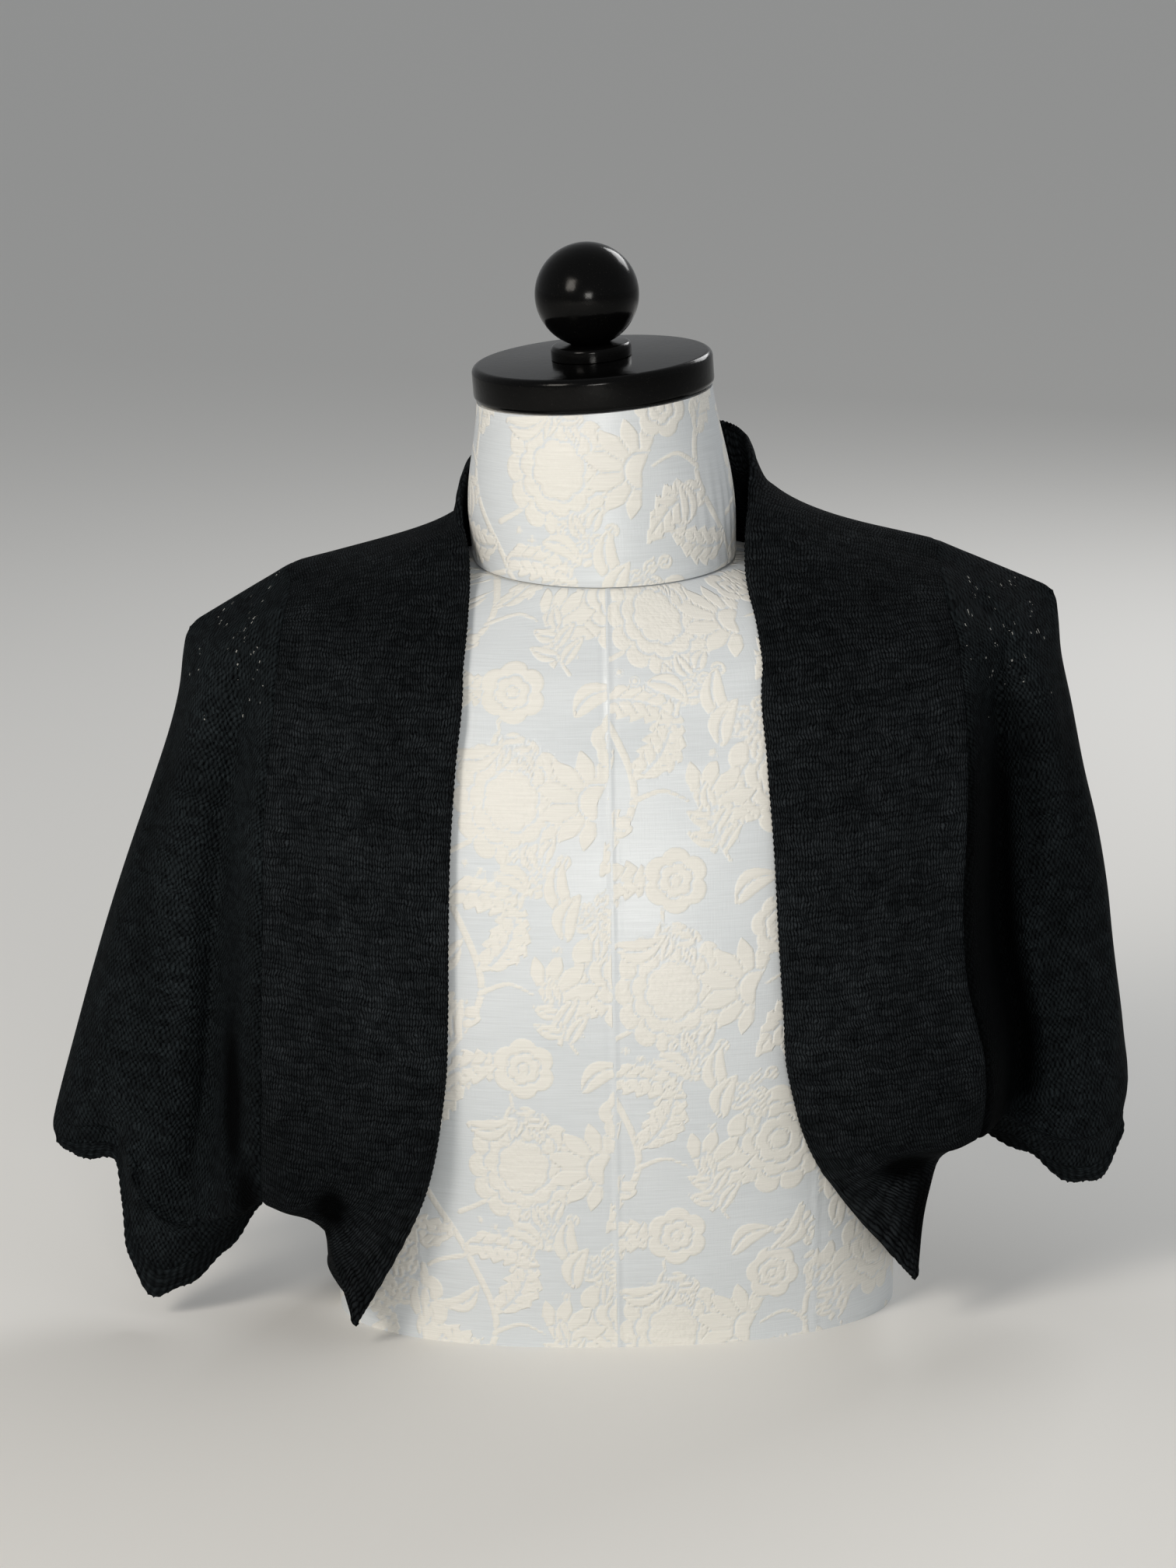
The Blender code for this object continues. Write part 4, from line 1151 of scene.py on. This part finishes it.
# Across, up, 1 where it is woven as small cells, and the motif; later ones lie on top
MOTIFS = [
    (62, 90, 0, stem([(-5, -90), (19, -52), (4, -8), (-20, 36), (-5, 90)], 1.7, 0.0)),
    (80, 37, 0, stem([(0, 0), (14, 5), (26, 0)], 1.3)),
    (43, 127, 0, stem([(0, 0), (-12, 7), (-26, 2)], 1.3)),
    (64, 78, 0, stem([(0, 0), (-16, -5), (-30, -18)], 1.4)),
    (64, 102, 0, stem([(0, 0), (17, 9), (30, 22)], 1.4)),
    (80, 24, 0, leaf(152, 46, 24, 6, 0.40, 7.0)),
    (82, 48, 1, leaf(66, 42, 22, -6, 0.34, 6.5)),
    (66, 84, 0, leaf(-14, 40, 21, 5, 0.38, 6.5)),
    (60, 90, 0, leaf(166, 38, 20, 5, 0.36, 6.5)),
    (47, 116, 0, leaf(214, 42, 23, -6, 0.40, 7.0)),
    (45, 142, 1, leaf(48, 46, 24, 6, 0.38, 7.0)),
    (56, 168, 0, leaf(162, 36, 19, -5, 0.34, 6.5)),
    (60, 174, 0, leaf(6, 38, 19, 5, 0.36, 6.5)),
    (26, 48, 0, flower(10, 29, 11, RINGS, 0.15)),
    (98, 128, 1, flower(0, 28, 13, WIDE_RINGS, 0.14, 1.12)),
    (111, 33, 0, fan(15, 28, 7, 200, 0.32)),
    (12, 127, 0, fan(165, 29, 7, 205, 0.32)),
    (101, 78, 0, sprig(62, 24, 5, 16, 3)),
    (15, 86, 0, sprig(262, 22, 5, 14, -3)),
    (24, 156, 0, flower(20, 14.5, 6, SMALL_RINGS, 0.2)),
    (100, 0, 0, flower(0, 15.5, 6, SMALL_RINGS, 0.2)),
    (0, 8, 0, sprig(108, 26, 5, 16, 3)),
    (93, 166, 0, sprig(300, 20, 5, 13, -3)),
    (98, 128, 0, berries(-50, 37, 7, 3.6, -13)),
    (26, 48, 0, berries(98, 36, 6, 3.7, 13)),
    (40, 12, 0, leaf(232, 30, 12, 7)),
    (120, 100, 0, leaf(290, 32, 12, -7)),
    (72, 62, 0, leaf(204, 26, 10, 6)),
    (50, 156, 0, leaf(108, 26, 10, -6)),
    (122, 62, 0, leaf(72, 24, 12, 4)),
    (2, 168, 0, leaf(28, 26, 12, 5)),
    (34, 100, 0, leaf(100, 22, 10, -4)),
    (88, 94, 0, leaf(330, 22, 10, 4)),
    (70, 150, 0, leaf(10, 26, 11, -5)),
    (68, 12, 0, leaf(80, 22, 10, 4)),
]


def damask(u, v):
    """Distance from the nearest outline, and where the weave is small cells."""
    shape = np.full(u.shape, 30.0)
    cells = np.zeros(u.shape)
    for across, up, weave, (motif, reach) in MOTIFS:
        du = np.mod(u - across + REPEAT[0] / 2, REPEAT[0]) - REPEAT[0] / 2
        dv = np.mod(v - up + REPEAT[1] / 2, REPEAT[1]) - REPEAT[1] / 2
        there = du ** 2 + dv ** 2 < reach ** 2
        one = motif(du[there], dv[there])
        shape[there] = np.minimum(np.maximum(shape[there], LINE_OF_GROUND - one), one)
        cells[there] = np.where(one < 0, weave, cells[there])
    return np.clip(shape, -4.0, 4.0), cells


# %% [markdown]
# ## Damask as a material
#
# The satin ground is cool and reflects the window light; the motifs are warmer, matt and
# ribbed by the thick cross threads. The thread count is about 30 to the centimetre, which
# is finer than a pixel here, so threads are drawn at 0.7 mm, and single thick slubs run
# across them.

# %% Damask material
damask_cover, add, shader = new_material("cream damask, satin ground", "#dedcd6")
uv = add("UVMap", uv_map="cloth")
outline = add("Attribute", output="Fac", attribute_name="motif")
cells = add("Attribute", output="Fac", attribute_name="cells")
frayed = add("TexNoise", {"Vector": uv, "Scale": 900.0, "Detail": 1.0})
frayed = add("Math MULTIPLY_ADD", [frayed, 0.9, -0.45])
edge = add("Math ADD", [outline, frayed])
inside = add("MapRange", {"Value": edge, "From Min": 0.3, "From Max": -0.3},
             interpolation_type="SMOOTHSTEP")
swell = add("MapRange", {"Value": outline, "From Min": 0.5, "From Max": -1.3},
            interpolation_type="SMOOTHSTEP")
slubs = add("VectorMath MULTIPLY", [uv, (40.0, 1500.0, 1.0)])
slubs = add("TexNoise", {"Vector": slubs, "Scale": 1.0, "Detail": 2.0, "Roughness": 0.6})
warp = add("VectorMath MULTIPLY", [uv, (1400.0, 90.0, 1.0)])
warp = add("TexNoise", {"Vector": warp, "Scale": 1.0, "Detail": 1.0})
pebbles = add("TexVoronoi", {"Vector": uv, "Scale": 430.0}, feature="F1")
pebbles = add("Math MULTIPLY", [pebbles, cells])
patch = add("TexNoise", {"Vector": uv, "Scale": 14.0, "Detail": 2.0})
ground = add("Mix", {"Factor": patch, "A": colour("#c3c9cd"), "B": colour("#d2d6d9")}, "Result",
             data_type="RGBA")
figure = add("Mix", {"Factor": patch, "A": colour("#d5d4cd"), "B": colour("#dedcd7")}, "Result",
             data_type="RGBA")
tone = add("Mix", {"Factor": inside, "A": ground, "B": figure}, "Result", data_type="RGBA")
thread = add("MapRange", {"Value": slubs, "From Min": 0.3, "From Max": 0.7, "To Min": 0.93,
                          "To Max": 1.04})
tone = add("VectorMath SCALE", {0: tone, "Scale": thread})
rough = add("MapRange", {"Value": inside, "To Min": 0.36, "To Max": 0.78})
relief = add("Math MULTIPLY", [swell, 0.28])
rise = add("MapRange", {"Value": inside, "To Min": 0.05, "To Max": 0.16})
relief = add("Math MULTIPLY_ADD", [slubs, rise, relief])
relief = add("Math MULTIPLY_ADD", [warp, 0.05, relief])
relief = add("Math MULTIPLY_ADD", [pebbles, -0.22, relief])
bump = add("Bump", {"Strength": 1.0, "Distance": 0.001, "Height": relief})
fill(shader, {"Base Color": tone, "Roughness": rough, "Normal": bump,
              "Specular IOR Level": 0.5, "Sheen Weight": 0.08})
print("damask motifs", len(MOTIFS))


# %% [markdown]
# ## The form's cover
#
# The cover is sewn from long panels: a seam down the middle of the front and the back, and
# a curved seam on each side. Each panel is cut from another place of the cloth, so the
# pattern breaks at the seams. A seam shows as a rounded ridge between two grooves.

# %% Torso
# Panels round the form: where each starts, and how far its cloth is shifted
PANELS = [
    (-430.0, 40.0, 12.0),
    (-205.0, 97.0, 66.0),
    (-104.0, 18.0, 30.0),
    (0.0, 70.0, 120.0),
    (104.0, 130.0, 8.0),
    (205.0, 22.0, 150.0),
]
PANEL_SEAMS = (-205.0, -104.0, 0.0, 104.0, 205.0)
FRONT_CROWD = 0.45
RING_SHARE = 0.8


def torso_spot(share, step):
    """A point of the torso: share of a turn from the back, step of height to the seam."""
    turn = 2 * math.pi * (share - 0.5)
    turn -= FRONT_CROWD * math.sin(turn)
    side, front_share = math.sin(turn), math.cos(turn)
    if step <= RING_SHARE:
        up = SHOULDER_RING * step / RING_SHARE
        radius = form_radius(side, front_share, up)
    else:
        inward = ((step - RING_SHARE) / (1 - RING_SHARE)) ** 1.8
        radius = mix(form_radius(side, front_share, SHOULDER_RING),
                     neck_radius(side, front_share, 0.0), inward)
        power = mix(1.0, SHOULDER_POWER, side * side)
        up = mix(SHOULDER_RING, seam_height(side, front_share), inward ** power)
    return radius * side, radius * front_share, up


def cover(name, node, points, run, height, shifts, seams, turned_end):
    """A piece of the cover on a closed ring of points, its ends closed flat.

    Each seam is a ridge with a groove on both sides. At the neck the cloth is turned in.
    """
    relief = np.zeros(run.shape)
    for seam in seams:
        away = np.abs(run - seam)
        relief += 0.4 * np.exp(-(away / 1.1) ** 2) - 0.2 * np.exp(-((away - 2.8) / 1.3) ** 2)
    away = lengths(points, 0)
    if turned_end == "high":
        away = away[-1:] - away
    relief -= 0.5 * np.exp(-(away / 1.4) ** 2)
    relief += 0.2 * np.exp(-((away - 3.0) / 1.6) ** 2)
    points = raised(points, (0, 0, points[..., 2].mean()), relief)
    points[:, -1] = points[:, 0]
    shift_u = np.zeros(run.shape)
    shift_v = np.zeros(run.shape)
    for start, across, up in shifts:
        shift_u = np.where(run >= start, across, shift_u)
        shift_v = np.where(run >= start, up, shift_v)
    motif, cells = damask(run + shift_u, height + shift_v)
    for seam in seams:
        motif = np.maximum(motif, 0.5 - np.abs(run - seam))
    thing = grid_object(name, points, np.stack([run, height], axis=-1), damask_cover,
                        {"motif": motif, "cells": cells})
    bm = bmesh.new()
    bm.from_mesh(thing.data)
    bmesh.ops.remove_doubles(bm, verts=bm.verts, dist=0.00001)
    bmesh.ops.holes_fill(bm, edges=bm.edges, sides=0)
    bmesh.ops.recalc_face_normals(bm, faces=bm.faces)
    bm.to_mesh(thing.data)
    bm.free()
    thing.data.set_sharp_from_angle(angle=math.radians(60))
    stand_for(thing, node)


TORSO_COLUMNS = 392
TORSO_ROWS = 250
RING_ROW = RING_SHARE * TORSO_ROWS
BUST_ROW = 150
coarse = net(120, 80, torso_spot)
points = fine_grid(coarse, TORSO_ROWS, TORSO_COLUMNS)
# The cover is padded, so the ring where the shoulders begin is rounded over
soft = np.exp(-((np.arange(TORSO_ROWS) - RING_ROW) / 9.0) ** 2)[1:-1, None, None]
for step in range(160):
    points[1:-1] += 0.25 * soft * (points[:-2] - 2 * points[1:-1] + points[2:])
points[:, -1] = points[:, 0]
run = lengths(points, 1)
run = run - run[:, [TORSO_COLUMNS // 2]]
# Panels narrow less than the form does above and below the bust
run = run * (run[BUST_ROW].max() / np.maximum(run.max(axis=1, keepdims=True), 1.0)) ** 0.35
cover("form_torso_cover", "form_torso", points, run, lengths(points, 0), PANELS, PANEL_SEAMS,
      "high")


# %% Neck
def neck_spot(share, step):
    """A point of the neck, from its seam up to the tilted cap."""
    turn = 2 * math.pi * (share - 0.5)
    side, front_share = math.sin(turn), math.cos(turn)
    radius = neck_radius(side, front_share, step)
    across, out = radius * side, radius * front_share
    low = NECK_SEAM - NECK_SEAM_SLOPE * out + 0.35
    high = NECK_TOP - across * math.tan(CAP_ROLL) - out * math.tan(CAP_PITCH)
    up = mix(low, high, step)
    return across + (up - NECK_SEAM) * NECK_LEAN, out, up


NECK_COLUMNS = 300
coarse = net(96, 10, neck_spot)
points = fine_grid(coarse, 66, NECK_COLUMNS)
points[:, -1] = points[:, 0]
run = lengths(points, 1)
run = run - run[:, [NECK_COLUMNS // 2]]
# The cloth puckers a little under the cap on the wearer's left
pucker = 0.35 * np.sin(run * 2 * np.pi / 7.5 + points[..., 2] * 0.05)
pucker *= np.clip(1.1 - np.hypot(run - 78, points[..., 2] - 395) / 34, 0, 1)
points = raised(points, (0, 0, 410), pucker)
cover("form_neck_cover", "form_neck", points, run, points[..., 2], [(-400.0, 118.0, 66.0)],
      (150.0,), "low")


# %% [markdown]
# ## Turned and lacquered wood
#
# The cap and its ball are turned on a lathe and sprayed with black lacquer. A lathe sweeps
# one profile round an axis, and so does `bmesh.ops.spin`. Lacquer is a clear hard film with
# an index of 1.5: it gives small bright reflections, slightly softened by fine dust and by
# the orange peel of the spray.

# %% Lacquer
lacquer, add, shader = new_material("black sprayed lacquer on turned wood", "#0c0b0b")
place = add("TexCoord", output="Object")
peel = add("TexNoise", {"Vector": place, "Scale": 420.0, "Detail": 1.0})
smear = add("TexNoise", {"Vector": place, "Scale": 38.0, "Detail": 4.0})
dust = add("TexNoise", {"Vector": place, "Scale": 1500.0, "Detail": 2.0})
dust = add("MapRange", {"Value": dust, "From Min": 0.66, "From Max": 0.74})
tone = add("Mix", {"Factor": dust, "A": colour("#050505"), "B": colour("#1a1918")}, "Result",
           data_type="RGBA")
rough = add("MapRange", {"Value": smear, "To Min": 0.10, "To Max": 0.22})
bump = add("Bump", {"Strength": 0.25, "Distance": 0.0002, "Height": peel})
fill(shader, {"Base Color": tone, "Roughness": rough, "Normal": bump, "IOR": 1.5,
              "Specular IOR Level": 0.1})


# %% Turned pieces
def turned(name, node, profile):
    """A lathe piece from its profile of radius and height, on the tilted neck."""
    bm = bmesh.new()
    corners = [bm.verts.new((radius * MM, 0.0, up * MM)) for radius, up in profile]
    edges = [bm.edges.new(pair) for pair in zip(corners, corners[1:])]
    bmesh.ops.spin(bm, geom=corners + edges, cent=(0, 0, 0), axis=(0, 0, 1),
                   angle=2 * math.pi, steps=144, use_merge=True)
    bmesh.ops.remove_doubles(bm, verts=bm.verts, dist=0.00001)
    bmesh.ops.recalc_face_normals(bm, faces=bm.faces)
    tilt = (Matrix.Translation(Vector(((NECK_TOP - NECK_SEAM) * NECK_LEAN, 3.0, NECK_TOP)) * MM)
            @ Matrix.Rotation(-CAP_ROLL, 4, "Y").inverted()
            @ Matrix.Rotation(CAP_PITCH, 4, "X"))
    bmesh.ops.transform(bm, matrix=tilt, verts=bm.verts)
    mesh = bpy.data.meshes.new(name)
    bm.to_mesh(mesh)
    bm.free()
    thing = new_object(name, mesh, lacquer)
    mesh.set_sharp_from_angle(angle=math.radians(50))
    stand_for(thing, node)


def arc(centre_radius, centre_up, radius, start, end, steps):
    """Points of a profile's arc, angles in degrees from the horizontal."""
    return [(centre_radius + radius * math.cos(math.radians(mix(start, end, k / steps))),
             centre_up + radius * math.sin(math.radians(mix(start, end, k / steps))))
            for k in range(steps + 1)]


CAP_RADIUS, CAP_THICK, CAP_EDGE = 58.0, 17.0, 3.2
BALL_RADIUS, FOOT_RADIUS, FOOT_HEIGHT = 25.0, 19.3, 6.5
FIT = 0.35
turned("cap_lacquered", "neck_cap",
       [(0.0, CAP_THICK)]
       + arc(CAP_RADIUS - CAP_EDGE, CAP_THICK - CAP_EDGE, CAP_EDGE, 90, 0, 8)
       + arc(CAP_RADIUS - CAP_EDGE, CAP_EDGE + FIT, CAP_EDGE, 0, -90, 8) + [(0.0, FIT)])
foot_top = CAP_THICK + FIT + FOOT_HEIGHT
start = -math.degrees(math.acos(9.0 / BALL_RADIUS))
turned("ball_lacquered", "finial",
       arc(0.0, foot_top + BALL_RADIUS - 1.5, BALL_RADIUS, 90, start, 44)
       + arc(FOOT_RADIUS - 2.0, foot_top - 2.0, 2.0, 90, 0, 6)
       + [(FOOT_RADIUS, CAP_THICK + FIT), (0.0, CAP_THICK + FIT)])


# %% [markdown]
# ## Floor, light and camera
#
# A plain pale floor, a large soft lamp on the left and above, a weaker one in front, and
# one behind for the back, with none on the right, so that the folds on the wearer's left
# stay dark as in the photo. The camera stands 2.2 m away and 12 degrees above level, which
# is the photo's angle.

# %% Floor
bm = bmesh.new()
bmesh.ops.create_grid(bm, x_segments=1, y_segments=1, size=60.0)
mesh = bpy.data.meshes.new("floor")
bm.to_mesh(mesh)
bm.free()
floor = bpy.data.objects.new("floor", mesh)
bpy.context.scene.collection.objects.link(floor)
paper, add, shader = new_material("pale matt paper", "#e6e5e2")
fill(shader, {"Base Color": colour("#e6e5e2"), "Roughness": 0.9})
mesh.materials.append(paper)


# %% Lights and camera
def lamp(name, spot, size, power, tint):
    """A rectangular soft lamp at a spot in metres, turned to the middle of the form."""
    data = bpy.data.lights.new(name, "AREA")
    data.shape = "RECTANGLE"
    data.size, data.size_y = size
    data.energy = power
    data.color = colour(tint)[:3]
    thing = bpy.data.objects.new(name, data)
    bpy.context.scene.collection.objects.link(thing)
    thing.location = spot
    towards_form = Vector((0, 0, 0.25)) - Vector(spot)
    thing.rotation_euler = towards_form.to_track_quat("-Z", "Y").to_euler()


lamp("window", (-1.5, -1.9, 1.6), (0.8, 1.0), 38.0, "#fff8ee")
lamp("front", (0.15, -2.7, 0.62), (0.6, 0.5), 22.0, "#fffcf6")
lamp("behind", (1.2, 1.9, 1.6), (1.2, 0.8), 20.0, "#ffffff")
world = bpy.data.worlds.new("studio")
bpy.context.scene.world = world
world.use_nodes = True
fill(world.node_tree.nodes["Background"], {"Color": colour("#eef0f2"), "Strength": 0.40})

DISTANCE = 2.2
ABOVE_LEVEL = math.radians(12)
PIXELS_PER_METRE = 1000 / 0.38
PHOTO_HEIGHT = 2016
LOOK_AT = Vector((-0.0099, 0.0, 0.260))
CAMERA_ROLL = math.radians(-1.0)
to_camera = Vector((0.0, -math.cos(ABOVE_LEVEL), math.sin(ABOVE_LEVEL)))
camera_data = bpy.data.cameras.new("camera")
camera_data.sensor_width = 36.0
camera_data.lens = 36.0 * DISTANCE * PIXELS_PER_METRE / PHOTO_HEIGHT
camera_data.clip_end = 100.0
camera = bpy.data.objects.new("camera", camera_data)
bpy.context.scene.collection.objects.link(camera)
camera.location = LOOK_AT + to_camera * DISTANCE
turn = to_camera.to_track_quat("Z", "Y").to_matrix() @ Matrix.Rotation(CAMERA_ROLL, 3, "Z")
camera.rotation_euler = turn.to_euler()
bpy.context.scene.camera = camera
bpy.context.scene.view_settings.view_transform = "Standard"
